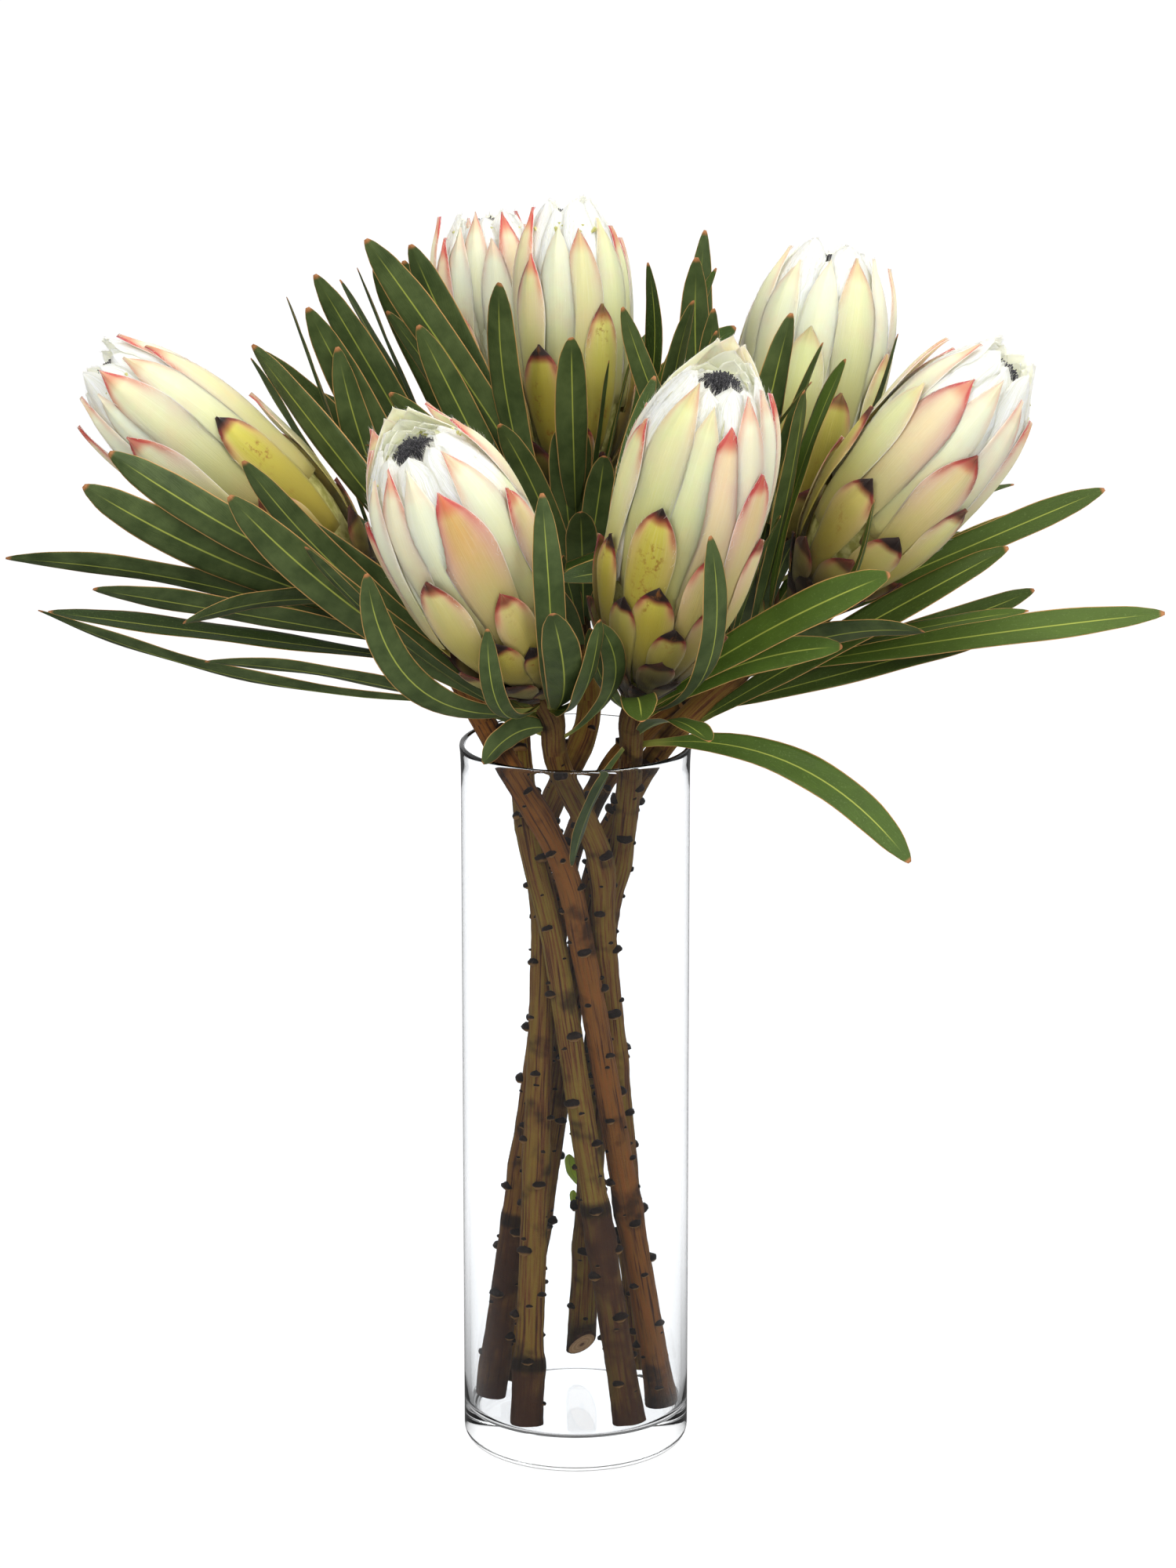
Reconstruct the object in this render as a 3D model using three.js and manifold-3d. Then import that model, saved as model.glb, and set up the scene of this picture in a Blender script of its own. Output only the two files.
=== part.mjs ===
// Seven cut protea stems standing in a clear glass cylinder vase.
// Millimetres, +Z up, +X right, -Y towards the viewer.
// The origin is the centre of the vase's flat underside.

import * as THREE from 'three';
import Module from 'manifold-3d';

const wasm = await Module();
wasm.setup();

// ---------------------------------------------------------------- sizes

const vase = {
  height: 300,
  radius: 46.5,
  wall: 2.6,
  floor: 15,
  // The flared lip: how far each corner is beyond the radius, and how far below the rim.
  lip: [
    [0, 12],
    [0.96, 4.2],
    [2.4, 1],
    [1.6, 0],
    [0, 1],
  ],
  lipHeight: 12,
  cornerRadius: 7,
  innerCornerRadius: 5,
  sides: 40,
};

const gap = 0.3;
const clearance = 0.9;
const goldenAngle = THREE.MathUtils.degToRad(137.508);

const stemSize = {
  footRadius: 6.0,
  neckRadius: 4.9,
  sides: 8,
  rings: 16,
  shootRings: 6,
  scarSpacing: 21,
  scarHeight: 1.3,
  scarWidth: 4.2,
  scarDepthShare: 0.7,
};

// Where the stems bundle together on their way up, and the shoulder above it.
const waist = { height: 215, radius: 13.2 };
const shoulderHeight = 257;

// stalk is the length at a leaf's root over which leaves of one shoot may touch.
const leafSize = { thickness: 1.4, rootHalfWidth: 1.6, rootDepth: 2.4, stalk: 34 };

// Insets are how far parts of a bract lie inside the head's outline. The bend is the ring between
// a bract's root and the cleft beside it. tuck, ragged, bend and edge are shares of lengths.
const bracts = {
  round: 7,
  thickness: 1.2,
  rootInset: 4.4,
  cleftInset: 2.2,
  cleftThickness: 1,
  tipProud: 0.3,
  tuck: 0.035,
  ragged: 0.03,
  bend: 0.6,
  bendInsetAtTip: 0.62,
  bendInsetAtCleft: 0.78,
  edge: 0.01,
};

// The whorls of bracts from the neck up, as shares of a head's length: where the pointed tips
// end, and how far down the clefts between them reach.
const crowns = [
  { tip: 0.13, cleft: 0.08 },
  { tip: 0.26, cleft: 0.18 },
  { tip: 0.43, cleft: 0.31 },
  { tip: 0.61, cleft: 0.47 },
  { tip: 0.81, cleft: 0.67 },
  { tip: 0.99, cleft: 0.88 },
];

// The outline of a flower head: radius as a share of the widest, against height as a share of the length.
const headOutline = [
  [0.0, 0.2],
  [0.06, 0.37],
  [0.15, 0.62],
  [0.28, 0.86],
  [0.45, 1.0],
  [0.62, 1.0],
  [0.78, 0.95],
  [0.9, 0.84],
  [1.02, 0.62],
];
const cup = { rimShare: 0.9, floorShare: 0.8, radiusShare: 0.42, taper: 0.05 };

// The tuft in the cup: its rings as shares of its radius and of its height, and how ragged they are.
const tuft = {
  clear: 4.2,
  heightShare: 0.12,
  sides: 10,
  ragged: 0.24,
  rings: [
    [0.92, 0],
    [1, 0.35],
    [0.72, 0.8],
    [0.3, 0.95],
  ],
};

// One entry for each flower. foot, rim and shoulder are polar: radius, then compass angle from +X.
// neck is where the head starts, and top is the middle of its opening.
const flowers = {
  farLeft: {
    foot: [36.3, 351, 17],
    waistAngle: 284,
    shoulder: [19, 250],
    rim: [36, 215],
    neck: [-80, -12, 366],
    top: [-185, -10, 454],
    widest: 29,
    bend: 30,
    leafyLength: 70,
    turn: 40,
  },
  frontLeft: {
    foot: [36, 38, 24],
    waistAngle: 335,
    shoulder: [19, 300],
    rim: [36, 259],
    neck: [-14, -55, 334],
    top: [-61, -110, 443],
    widest: 33.5,
    bend: 14,
    leafyLength: 32,
    turn: 100,
  },
  middle: {
    foot: [36.3, 237, 17],
    waistAngle: 181,
    shoulder: [19, 139],
    rim: [36, 82],
    neck: [0, 38, 386],
    top: [-3, 52, 506],
    widest: 27.5,
    bend: 40,
    leafyLength: 78,
    turn: 10,
  },
  back: {
    foot: [35.5, 308, 17],
    waistAngle: 232,
    shoulder: [18, 190],
    rim: [35.5, 132],
    neck: [-25, 88, 378],
    top: [-37, 113, 492],
    widest: 29,
    bend: 36,
    leafyLength: 96,
    turn: 75,
  },
  frontRight: {
    foot: [32, 86, 30],
    waistAngle: 27,
    shoulder: [19, 351],
    rim: [36, 308],
    neck: [25, -50, 331],
    top: [56, -100, 467],
    widest: 33.5,
    bend: 12,
    leafyLength: 36,
    turn: 200,
  },
  backRight: {
    foot: [36.3, 174, 17],
    waistAngle: 130,
    shoulder: [18, 88],
    rim: [35.5, 36],
    neck: [80, 52, 360],
    top: [105, 75, 483],
    widest: 34,
    bend: 36,
    leafyLength: 66,
    turn: 300,
  },
  farRight: {
    foot: [36.5, 136, 17],
    waistAngle: 78,
    shoulder: [18, 39],
    rim: [36, 355],
    neck: [89, -5, 357],
    top: [168, -30, 458],
    widest: 31,
    bend: 26,
    leafyLength: 80,
    turn: 150,
  },
};

// Leaves that show from the front, chosen one by one. below is how far under the neck a leaf springs,
// turn and climb are the compass angle and the rise of the line from its root to its tip, in degrees,
// bow and sway lift its middle up and aside, and roll turns its face about its length.
//   below, turn, climb, length, width, roll, bow, sway
const shownLeaves = {
  farLeft: [
    [24, 201, 26, 158, 17, 75, -6, 3],
    [12, 200, 31, 141, 16, 75, -4, -16],
    [45, 187, 18, 184, 16, 50, 9, 2],
    [60, 184, 13, 177, 15, 35, -10, 1],
    [36, 194, 20, 148, 15, 50, 0, 3],
    [34, 193, 16, 130, 13, 20, -3, 3],
    [44, 177, 7, 164, 14, -15, 0, 0],
    [10, 142, 45, 135, 12, 60, 4, -3],
    [18, 148, 44, 132, 12, 60, 2, -6],
  ],
  frontLeft: [
    [20, 204, 38, 172, 16, 75, -6, 6],
    [16, 199, 42, 164, 14, 60, -9, 4],
    [8, 224, 36, 118, 13, 60, -6, 6],
    [12, 170, 47, 190, 17, 75, 0, -3],
    [10, 262, 62, 124, 12, 10, -22, -3],
    [10, 258, 48, 104, 15, 10, -8, -5],
    [4, 251, 34, 78, 9, 20, -10, 2],
    [26, 195, 16, 146, 14, 30, 6, 2],
    [14, 183, 41, 136, 15, 70, 0, 1],
    [22, 215, 38, 146, 11, 15, 0, 5],
    [28, 294, 52, 94, 10, 20, -3, -14],
    [20, 222, -12, 38, 13, 80, 6, 0],
  ],
  middle: [
    [32, 234, 69, 145, 15, 0, -2, 10],
    [25, 190, 64, 154, 16, 60, -2, 2],
    [16, 205, 62, 164, 15, 60, 4, 2],
    [58, 210, 62, 162, 14, 70, 2, 6],
    [50, 196, 60, 157, 12, 60, 5, 3],
    [70, 239, 60, 137, 12, 40, 8, -1],
    [70, 218, 56, 165, 12, 60, 10, 6],
    [20, 2, 74, 134, 11, 20, -1, 0],
    [14, 28, 74, 120, 10, 20, -1, 4],
    [30, 292, 71, 106, 8, 50, 4, -2],
    [40, 300, 69, 122, 8, 60, 5, -2],
  ],
  back: [
    [80, 203, 50, 190, 15, 60, 0, 6],
    [70, 200, 51, 172, 15, 60, 4, 5],
    [60, 198, 61, 180, 14, 60, 2, 5],
    [95, 203, 66, 174, 14, 80, -10, 7],
    [45, 205, 66, 163, 14, 70, 6, 4],
    [50, 200, 65, 168, 13, -10, -2, 6],
    [40, 189, 61, 156, 12, -10, -1, 3],
    [30, 219, 67, 152, 13, 70, 5, 5],
  ],
  frontRight: [
    [10, 339, 38, 122, 16, 55, 4, -3],
    [6, 290, 47, 120, 12, 20, -5, -8],
    [8, 256, 46, 62, 8, 10, -4, 2],
    [24, 190, -66, 58, 9, 40, 4, -1],
    [30, 341, -18, 122, 15, 40, 18, -3],
    [20, 73, 77, 142, 10, 30, 10, -8],
  ],
  backRight: [
    [40, 228, 79, 175, 14, 50, 0, 10],
    [26, 277, 66, 158, 15, 20, -10, 10],
    [22, 317, 62, 146, 13, 20, -8, 0],
    [48, 291, 63, 156, 14, 50, 4, 16],
    [60, 256, 78, 170, 13, 60, 6, 16],
    [20, 205, 80, 166, 11, 80, -3, 4],
    [30, 169, 82, 172, 11, 80, 4, 0],
    [28, 242, 74, 158, 12, 40, -4, 8],
    [34, 294, 67, 150, 12, 40, -6, 12],
    [45, 258, 70, 160, 10, 40, 0, 10],
  ],
  farRight: [
    [76, 344, 35, 162, 14, 60, 2, -2],
    [40, 354, 10, 176, 14, 40, 2, 0],
    [62, 6, 14, 137, 13, 45, 0, 1],
    [14, 5, 26, 144, 13, 50, 1, 1],
    [20, 342, 75, 122, 14, 30, -3, -2],
    [36, 298, 68, 133, 13, 30, 4, -6],
    [10, 297, 42, 98, 15, 60, -16, 0],
    [46, 290, 53, 104, 12, 50, 6, -1],
    [20, 8, 24, 127, 12, 60, 2, 2],
    [34, 5, 14, 122, 12, 50, -5, 1],
    [44, 344, 17, 130, 11, 15, 3, -3],
  ],
};

// The rest of each leafy shoot follows a spiral. facing is the compass angle that the arc is centred on.
// A leaf's place on the arc steps by the golden share, and its habit says how much the rest varies.
const spiralHabit = {
  width: 14,
  bow: 8,
  rollRange: 90,
  climbRange: 24,
  droop: 0.15,
  lengthRange: 0.3,
  firstBelow: 8,
  spacing: 0.75,
  goldenShare: 0.618,
  firstShare: 0.31,
};
const spiralLeaves = {
  farLeft: { count: 6, facing: 100, arc: 130, climb: 30, length: 125 },
  frontLeft: { count: 2, facing: 300, arc: 60, climb: 40, length: 95 },
  middle: { count: 3, facing: 320, arc: 120, climb: 66, length: 110 },
  back: { count: 9, facing: 90, arc: 170, climb: 42, length: 130 },
  frontRight: { count: 3, facing: 280, arc: 80, climb: 25, length: 95 },
  backRight: { count: 8, facing: 70, arc: 170, climb: 40, length: 130 },
  farRight: { count: 5, facing: 50, arc: 120, climb: 34, length: 125 },
};

// A leaf that would meet something is turned or lifted by the first of these steps that clears it:
// degrees of turn, degrees of climb, millimetres of bow.
const clearingSteps = [[0, 0, 0]];
for (const reach of [3, 6, 9, 13, 17, 22]) {
  for (const [turn, climb, bow] of [
    [1, 0, 0],
    [-1, 0, 0],
    [0, 1, 0],
    [0, -1, 0],
    [1, 1, 0],
    [-1, 1, 0],
    [1, -1, 0],
    [-1, -1, 0],
    [0, 0, -1],
    [0, 0, 1],
    [0.5, 0, -1],
    [-0.5, 0, -1],
  ]) {
    clearingSteps.push([turn * reach, climb * reach, bow * reach]);
  }
}

// ---------------------------------------------------------------- solids from rings

const vector = (values) => new THREE.Vector3(...values);

function polar(radius, degrees, height) {
  const angle = THREE.MathUtils.degToRad(degrees);
  return new THREE.Vector3(radius * Math.cos(angle), radius * Math.sin(angle), height);
}

// Skins rings of equal, even count. Facing quads are split alike, so a thin blade never crosses itself.
function skin(rings, apex) {
  const points = rings.flat();
  const around = rings[0].length;
  const triangles = [];
  for (let ring = 0; ring + 1 < rings.length; ring++) {
    for (let k = 0; k < around; k++) {
      const a = ring * around + k;
      const b = ring * around + ((k + 1) % around);
      const c = a + around;
      const d = b + around;
      if (k % 2 === 0) {
        triangles.push(a, b, d, a, d, c);
      } else {
        triangles.push(a, b, c, b, d, c);
      }
    }
  }
  const last = (rings.length - 1) * around;
  for (let k = 1; k + 1 < around; k++) {
    triangles.push(0, k + 1, k);
  }
  if (apex) {
    points.push(apex);
    for (let k = 0; k < around; k++) {
      triangles.push(last + k, last + ((k + 1) % around), points.length - 1);
    }
  } else {
    for (let k = 1; k + 1 < around; k++) {
      triangles.push(last, last + k, last + k + 1);
    }
  }
  return solidFrom(points, triangles);
}

function solidFrom(points, triangles) {
  let volume = 0;
  for (let i = 0; i < triangles.length; i += 3) {
    const [a, b, c] = [0, 1, 2].map((k) => points[triangles[i + k]]);
    volume += a.dot(b.clone().cross(c));
  }
  const faces = volume > 0 ? triangles : triangles.toReversed();
  const mesh = new wasm.Mesh({
    numProp: 3,
    vertProperties: new Float32Array(points.flatMap((p) => p.toArray())),
    triVerts: new Uint32Array(faces),
  });
  return new wasm.Manifold(mesh);
}

function joined(solids) {
  return solids.reduce((whole, piece) => whole.add(piece));
}

function geometryOf(solid) {
  const mesh = solid.getMesh();
  const geometry = new THREE.BufferGeometry();
  geometry.setAttribute('position', new THREE.BufferAttribute(mesh.vertProperties, 3));
  geometry.setIndex(new THREE.BufferAttribute(mesh.triVerts, 1));
  return geometry;
}

function overlap(first, second) {
  const a = first.boundingBox();
  const b = second.boundingBox();
  for (let axis = 0; axis < 3; axis++) {
    if (a.min[axis] > b.max[axis] || b.min[axis] > a.max[axis]) {
      return false;
    }
  }
  return first.intersect(second).volume() > 0;
}

const meetsAny = (piece, others) => others.some((other) => overlap(piece, other));

// ---------------------------------------------------------------- vase

function makeVaseProfile() {
  const { height, radius, wall, floor, lip, lipHeight } = vase;
  const inner = radius - wall;
  const profile = [new THREE.Vector2(0, 0)];
  for (let k = 0; k <= 3; k++) {
    const angle = (k / 3) * (Math.PI / 2);
    const reach = radius - vase.cornerRadius * (1 - Math.sin(angle));
    profile.push(new THREE.Vector2(reach, vase.cornerRadius * (1 - Math.cos(angle))));
  }
  for (const [reach, depth] of lip) {
    profile.push(new THREE.Vector2(radius + reach, height - depth));
  }
  profile.push(new THREE.Vector2(inner, height - lipHeight));
  for (let k = 0; k <= 3; k++) {
    const angle = (k / 3) * (Math.PI / 2);
    const reach = inner - vase.innerCornerRadius * (1 - Math.cos(angle));
    profile.push(new THREE.Vector2(reach, floor + vase.innerCornerRadius * (1 - Math.sin(angle))));
  }
  profile.push(new THREE.Vector2(0, floor));
  return profile;
}

// A turned solid from a profile that starts and ends on the axis.
function turned(profile, sides) {
  const points = [new THREE.Vector3(0, 0, profile[0].y)];
  const triangles = [];
  const rings = profile.slice(1, -1);
  for (const { x, y } of rings) {
    for (let k = 0; k < sides; k++) {
      points.push(polar(x, (360 * k) / sides, y));
    }
  }
  points.push(new THREE.Vector3(0, 0, profile.at(-1).y));
  const top = points.length - 1;
  const lastRing = 1 + (rings.length - 1) * sides;
  for (let k = 0; k < sides; k++) {
    const next = (k + 1) % sides;
    triangles.push(0, 1 + next, 1 + k);
    triangles.push(top, lastRing + k, lastRing + next);
    for (let ring = 0; ring + 1 < rings.length; ring++) {
      const low = 1 + ring * sides;
      const high = low + sides;
      triangles.push(low + k, low + next, high + next, low + k, high + next, high + k);
    }
  }
  return { points, triangles };
}

function makeVase() {
  const { points, triangles } = turned(makeVaseProfile(), vase.sides);
  return solidFrom(points, triangles);
}

// ---------------------------------------------------------------- stems

function axisOf(flower) {
  return vector(flower.top).sub(vector(flower.neck)).normalize();
}

// The middle line of a stem, from its cut foot to its neck.
function routeOf(flower) {
  const foot = polar(...flower.foot);
  const bundle = polar(waist.radius, flower.waistAngle, waist.height);
  const neck = vector(flower.neck);
  return new THREE.CatmullRomCurve3(
    [
      foot,
      foot.clone().add(bundle).multiplyScalar(0.5),
      bundle,
      polar(...flower.shoulder, shoulderHeight),
      polar(...flower.rim, vase.height),
      neck.clone().addScaledVector(axisOf(flower), -flower.bend),
      neck,
    ],
    false,
    'catmullrom',
    0.5
  );
}

// The ring of a round stem at a share of its route, with its angle 0 towards +X.
function stemRing(route, share, radius) {
  const centre = route.getPointAt(share);
  const along = route.getTangentAt(share);
  const right = new THREE.Vector3(0, 1, 0).cross(along).normalize();
  const back = along.clone().cross(right);
  return Array.from({ length: stemSize.sides }, (_, k) => {
    const angle = (2 * Math.PI * k) / stemSize.sides;
    return centre
      .clone()
      .addScaledVector(right, radius * Math.cos(angle))
      .addScaledVector(back, radius * Math.sin(angle));
  });
}

function stemRadius(share) {
  return THREE.MathUtils.lerp(stemSize.footRadius, stemSize.neckRadius, share);
}

function stemLength(route, from, to, rings) {
  const shares = Array.from({ length: rings }, (_, k) => from + ((to - from) * k) / (rings - 1));
  return skin(shares.map((share) => stemRing(route, share, stemRadius(share))));
}

// A small pointed bump that a fallen leaf left on the bark.
function makeScar(route, share, angle, spare = 0) {
  const centre = route.getPointAt(share);
  const along = route.getTangentAt(share);
  const out = new THREE.Vector3(0, 1, 0).cross(along).normalize().applyAxisAngle(along, angle);
  const across = along.clone().cross(out);
  const radius = stemRadius(share);
  const foot = centre.clone().addScaledVector(out, radius * stemSize.scarDepthShare);
  const half = stemSize.scarWidth / 2 + spare;
  const reach = radius + stemSize.scarHeight + spare;
  const ring = [
    foot.clone().addScaledVector(along, -half),
    foot.clone().addScaledVector(across, half),
    foot.clone().addScaledVector(along, half),
    foot.clone().addScaledVector(across, -half),
  ];
  const point = centre.clone().addScaledVector(out, reach).addScaledVector(along, half * 0.6);
  return skin([ring], point);
}

// ---------------------------------------------------------------- leaves

// Half width of a leaf, as a share of its widest, at shares of its length.
const leafStations = [0, 0.22, 0.48, 0.74, 0.92];
const leafHalves = [0, 0.58, 0.94, 1, 0.62];

function leafLine(route, length, leaf, step) {
  const [below, turn, climb, reach, , , bow, sway] = leaf;
  const root = route.getPointAt(1 - below / length);
  const bearing = THREE.MathUtils.degToRad(turn + step[0]);
  const rise = THREE.MathUtils.degToRad(climb + step[1]);
  const along = new THREE.Vector3(
    Math.cos(bearing) * Math.cos(rise),
    Math.sin(bearing) * Math.cos(rise),
    Math.sin(rise)
  );
  const up = new THREE.Vector3(
    -Math.cos(bearing) * Math.sin(rise),
    -Math.sin(bearing) * Math.sin(rise),
    Math.cos(rise)
  );
  const side = along.clone().cross(up);
  const lift = (share) => 4 * share * (1 - share);
  const at = (share) =>
    root
      .clone()
      .addScaledVector(along, reach * share)
      .addScaledVector(up, (bow + step[2]) * lift(share))
      .addScaledVector(side, sway * lift(share));
  return { at, side };
}

function makeLeaf(route, length, leaf, step, spare = 0) {
  const [, , , , width, roll] = leaf;
  const { at, side } = leafLine(route, length, leaf, step);
  const sunk = (stemSize.neckRadius - leafSize.rootDepth) / leaf[3];
  const rings = leafStations.map((station, k) => {
    const share = Math.max(station, sunk);
    const along = at(share + 0.02).sub(at(share)).normalize();
    const across = side.clone().addScaledVector(along, -side.dot(along)).normalize();
    across.applyAxisAngle(along, THREE.MathUtils.degToRad(roll));
    const face = along.clone().cross(across);
    const half = Math.max(leafSize.rootHalfWidth, (width / 2) * leafHalves[k]) + spare;
    const rib = leafSize.thickness / 2 + spare;
    const centre = at(share);
    return [
      centre.clone().addScaledVector(across, -half),
      centre.clone().addScaledVector(face, rib),
      centre.clone().addScaledVector(across, half),
      centre.clone().addScaledVector(face, -rib),
    ];
  });
  return skin(rings, at(1 + spare / 100));
}

// A repeatable value between 0 and 1 for each whole number.
function scatter(index) {
  const value = Math.sin(index * 12.9898) * 43758.5453;
  return value - Math.floor(value);
}

function spiralLeaf(name, index) {
  const { count, facing, arc, climb, length } = spiralLeaves[name];
  const habit = spiralHabit;
  const spread = ((index * habit.goldenShare + habit.firstShare) % 1) - 0.5;
  const seed = index + 10 * Object.keys(flowers).indexOf(name);
  const below = habit.firstBelow + (habit.spacing * flowers[name].leafyLength * index) / count;
  const rise = climb + habit.climbRange * (scatter(seed + 0.3) - 0.5) - habit.droop * below;
  const reach = length * (1 + habit.lengthRange * (scatter(seed + 0.7) - 0.5));
  const roll = habit.rollRange * (scatter(seed) - 0.5);
  return [below, facing + 2 * arc * spread, rise, reach, habit.width, roll, habit.bow, 0];
}

// ---------------------------------------------------------------- flower heads

function headFrame(flower) {
  const along = axisOf(flower);
  const right = new THREE.Vector3(0, 1, 0).cross(along).normalize();
  const back = along.clone().cross(right);
  const length = vector(flower.top).distanceTo(vector(flower.neck));
  return { along, right, back, length, neck: vector(flower.neck) };
}

// radius and angle are round the head's axis, and height is along it from the neck, in millimetres.
function placeOnHead(frame, radius, angle, height) {
  return frame.neck
    .clone()
    .addScaledVector(frame.right, radius * Math.cos(angle))
    .addScaledVector(frame.back, radius * Math.sin(angle))
    .addScaledVector(frame.along, height);
}

function headShare(height) {
  const place = THREE.MathUtils.clamp(height, 0, headOutline.at(-1)[0]);
  const next = headOutline.findIndex(([h], k) => k > 0 && h >= place);
  const [lowHeight, lowRadius] = headOutline[next - 1];
  const [highHeight, highRadius] = headOutline[next];
  return THREE.MathUtils.mapLinear(place, lowHeight, highHeight, lowRadius, highRadius);
}

// A head is a stack of crowns. Each crown is a whorl of pointed bracts that springs from behind
// the crown below it, half a bract round, and stands proud of the next one at its free edge.
function makeHead(flower) {
  const frame = headFrame(flower);
  const columns = 2 * bracts.round;
  const turn = THREE.MathUtils.degToRad(flower.turn);
  const { rootInset, cleftInset, thickness, tipProud, edge } = bracts;
  const rings = [];
  const ring = (pointAt) => {
    rings.push(
      Array.from({ length: columns }, (_, k) => {
        const [height, inset] = pointAt(k);
        const radius = Math.max(3, flower.widest * headShare(height) - inset);
        const angle = turn + (2 * Math.PI * k) / columns;
        return placeOnHead(frame, radius, angle, height * frame.length);
      })
    );
  };
  ring(() => [gap / frame.length, flower.widest * headShare(0) - stemSize.neckRadius]);
  crowns.forEach(({ tip, cleft }, row) => {
    const start = row === 0 ? 0.02 : crowns[row - 1].cleft - bracts.tuck;
    const isTip = (k) => (k + row) % 2 === 0;
    const tipHeight = (k) => tip + bracts.ragged * (scatter(k + 31 * row + flower.turn) - 0.5);
    const bend = start + bracts.bend * (cleft - start);
    const bendShare = (k) => (isTip(k) ? bracts.bendInsetAtTip : bracts.bendInsetAtCleft);
    ring(() => [start, row === 0 ? 0 : rootInset]);
    ring((k) => [bend, rootInset * bendShare(k)]);
    ring((k) => (isTip(k) ? [tipHeight(k), -tipProud] : [cleft, cleftInset]));
    ring((k) =>
      isTip(k)
        ? [tipHeight(k) - edge, thickness - tipProud]
        : [cleft - edge, cleftInset + bracts.cleftThickness]
    );
  });
  for (const [height, radius] of [
    [cup.rimShare, cup.radiusShare],
    [cup.floorShare, cup.radiusShare - cup.taper],
  ]) {
    ring(() => [height, flower.widest * (headShare(height) - radius)]);
  }
  return skin(rings);
}

// The dark tuft of florets that stands in the cup of a head.
function makeTuft(flower) {
  const frame = headFrame(flower);
  const radius = flower.widest * cup.radiusShare - tuft.clear;
  const low = cup.floorShare * frame.length + gap;
  const height = tuft.heightShare * frame.length;
  const rings = tuft.rings.map(([reach, rise], row) =>
    Array.from({ length: tuft.sides }, (_, k) => {
      const ragged = row === 0 ? 1 : 1 + tuft.ragged * (scatter(k + 10 * row) - 0.5);
      const angle = (2 * Math.PI * (k + 0.5 * row)) / tuft.sides;
      return placeOnHead(frame, radius * reach * ragged, angle, low + height * rise * ragged);
    })
  );
  return skin(rings, placeOnHead(frame, 0, 0, low + height));
}

// ---------------------------------------------------------------- assembly

const solids = {};
const colours = {
  glass: { color: 0xe9f0f2, roughness: 0.05, metalness: 0 },
  bark: { color: 0x6b4a2a, roughness: 0.8, metalness: 0 },
  leaf: { color: 0x2f4a2a, roughness: 0.55, metalness: 0 },
  bract: { color: 0xe9e3c4, roughness: 0.6, metalness: 0 },
  tuft: { color: 0x2a2530, roughness: 0.95, metalness: 0 },
};

function add(name, finish, solid) {
  solids[name] = { finish, solid };
}

add('glass_vase', 'glass', makeVase());

const shoots = {};
for (const [name, flower] of Object.entries(flowers)) {
  const route = routeOf(flower);
  const length = route.getLength();
  const split = 1 - flower.leafyLength / length;
  const halfGap = gap / 2 / length;
  shoots[name] = {
    route,
    length,
    split,
    wood: [stemLength(route, 0, split - halfGap, stemSize.rings)],
    green: [stemLength(route, split + halfGap, 1, stemSize.shootRings)],
    blades: [],
  };
  add(`bloom_${name}`, 'bract', makeHead(flower));
  add(`florets_${name}`, 'tuft', makeTuft(flower));
}

const othersThan = (name) => Object.keys(flowers).filter((other) => other !== name);

for (const [name, { route, length, split, wood }] of Object.entries(shoots)) {
  const neighbours = othersThan(name).flatMap((other) => shoots[other].wood);
  neighbours.push(solids.glass_vase.solid);
  const count = Math.floor((split * length) / stemSize.scarSpacing);
  for (let k = 1; k < count; k++) {
    const share = (k * stemSize.scarSpacing) / length;
    const angle = k * goldenAngle + flowers[name].turn;
    if (!meetsAny(makeScar(route, share, angle, gap), neighbours)) {
      wood.push(makeScar(route, share, angle));
    }
  }
}

// Everything that a leaf of this shoot has to keep clear of.
function obstaclesFor(name) {
  const heads = Object.keys(flowers).map((other) => solids[`bloom_${other}`].solid);
  const wood = Object.keys(flowers).flatMap((other) => shoots[other].wood);
  const green = othersThan(name).flatMap((other) => shoots[other].green);
  return [solids.glass_vase.solid, ...heads, ...wood, ...green];
}

function growLeaf(name, leaf) {
  const { route, length, green, blades } = shoots[name];
  const obstacles = obstaclesFor(name);
  for (const kin of [blades, []]) {
    for (const step of clearingSteps) {
      const probe = makeLeaf(route, length, leaf, step, clearance);
      if (!meetsAny(probe, obstacles) && !meetsAny(outerPart(probe, route, length, leaf), kin)) {
        const blade = makeLeaf(route, length, leaf, step);
        green.push(blade);
        blades.push(outerPart(blade, route, length, leaf));
        return true;
      }
    }
  }
  return false;
}

// A leaf less its stalk end, which may touch the stalk ends of its neighbours on the same shoot.
function outerPart(blade, route, length, leaf) {
  const [below] = leaf;
  const root = route.getPointAt(1 - below / length);
  const ball = new THREE.OctahedronGeometry(leafSize.stalk, 0);
  const points = [];
  const triangles = [];
  const corners = ball.getAttribute('position');
  for (let k = 0; k < corners.count; k++) {
    const corner = new THREE.Vector3().fromBufferAttribute(corners, k).add(root);
    let found = points.findIndex((p) => p.distanceTo(corner) < 0.001);
    if (found < 0) {
      found = points.push(corner) - 1;
    }
    triangles.push(found);
  }
  return blade.subtract(solidFrom(points, triangles));
}

for (const [name, leaves] of Object.entries(shownLeaves)) {
  for (const leaf of leaves) {
    growLeaf(name, leaf);
  }
}
for (const [name, { count }] of Object.entries(spiralLeaves)) {
  for (let index = 0; index < count; index++) {
    growLeaf(name, spiralLeaf(name, index));
  }
}

for (const [name, { wood, green }] of Object.entries(shoots)) {
  add(`stem_${name}`, 'bark', joined(wood));
  add(`leaves_${name}`, 'leaf', joined(green));
}

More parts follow.
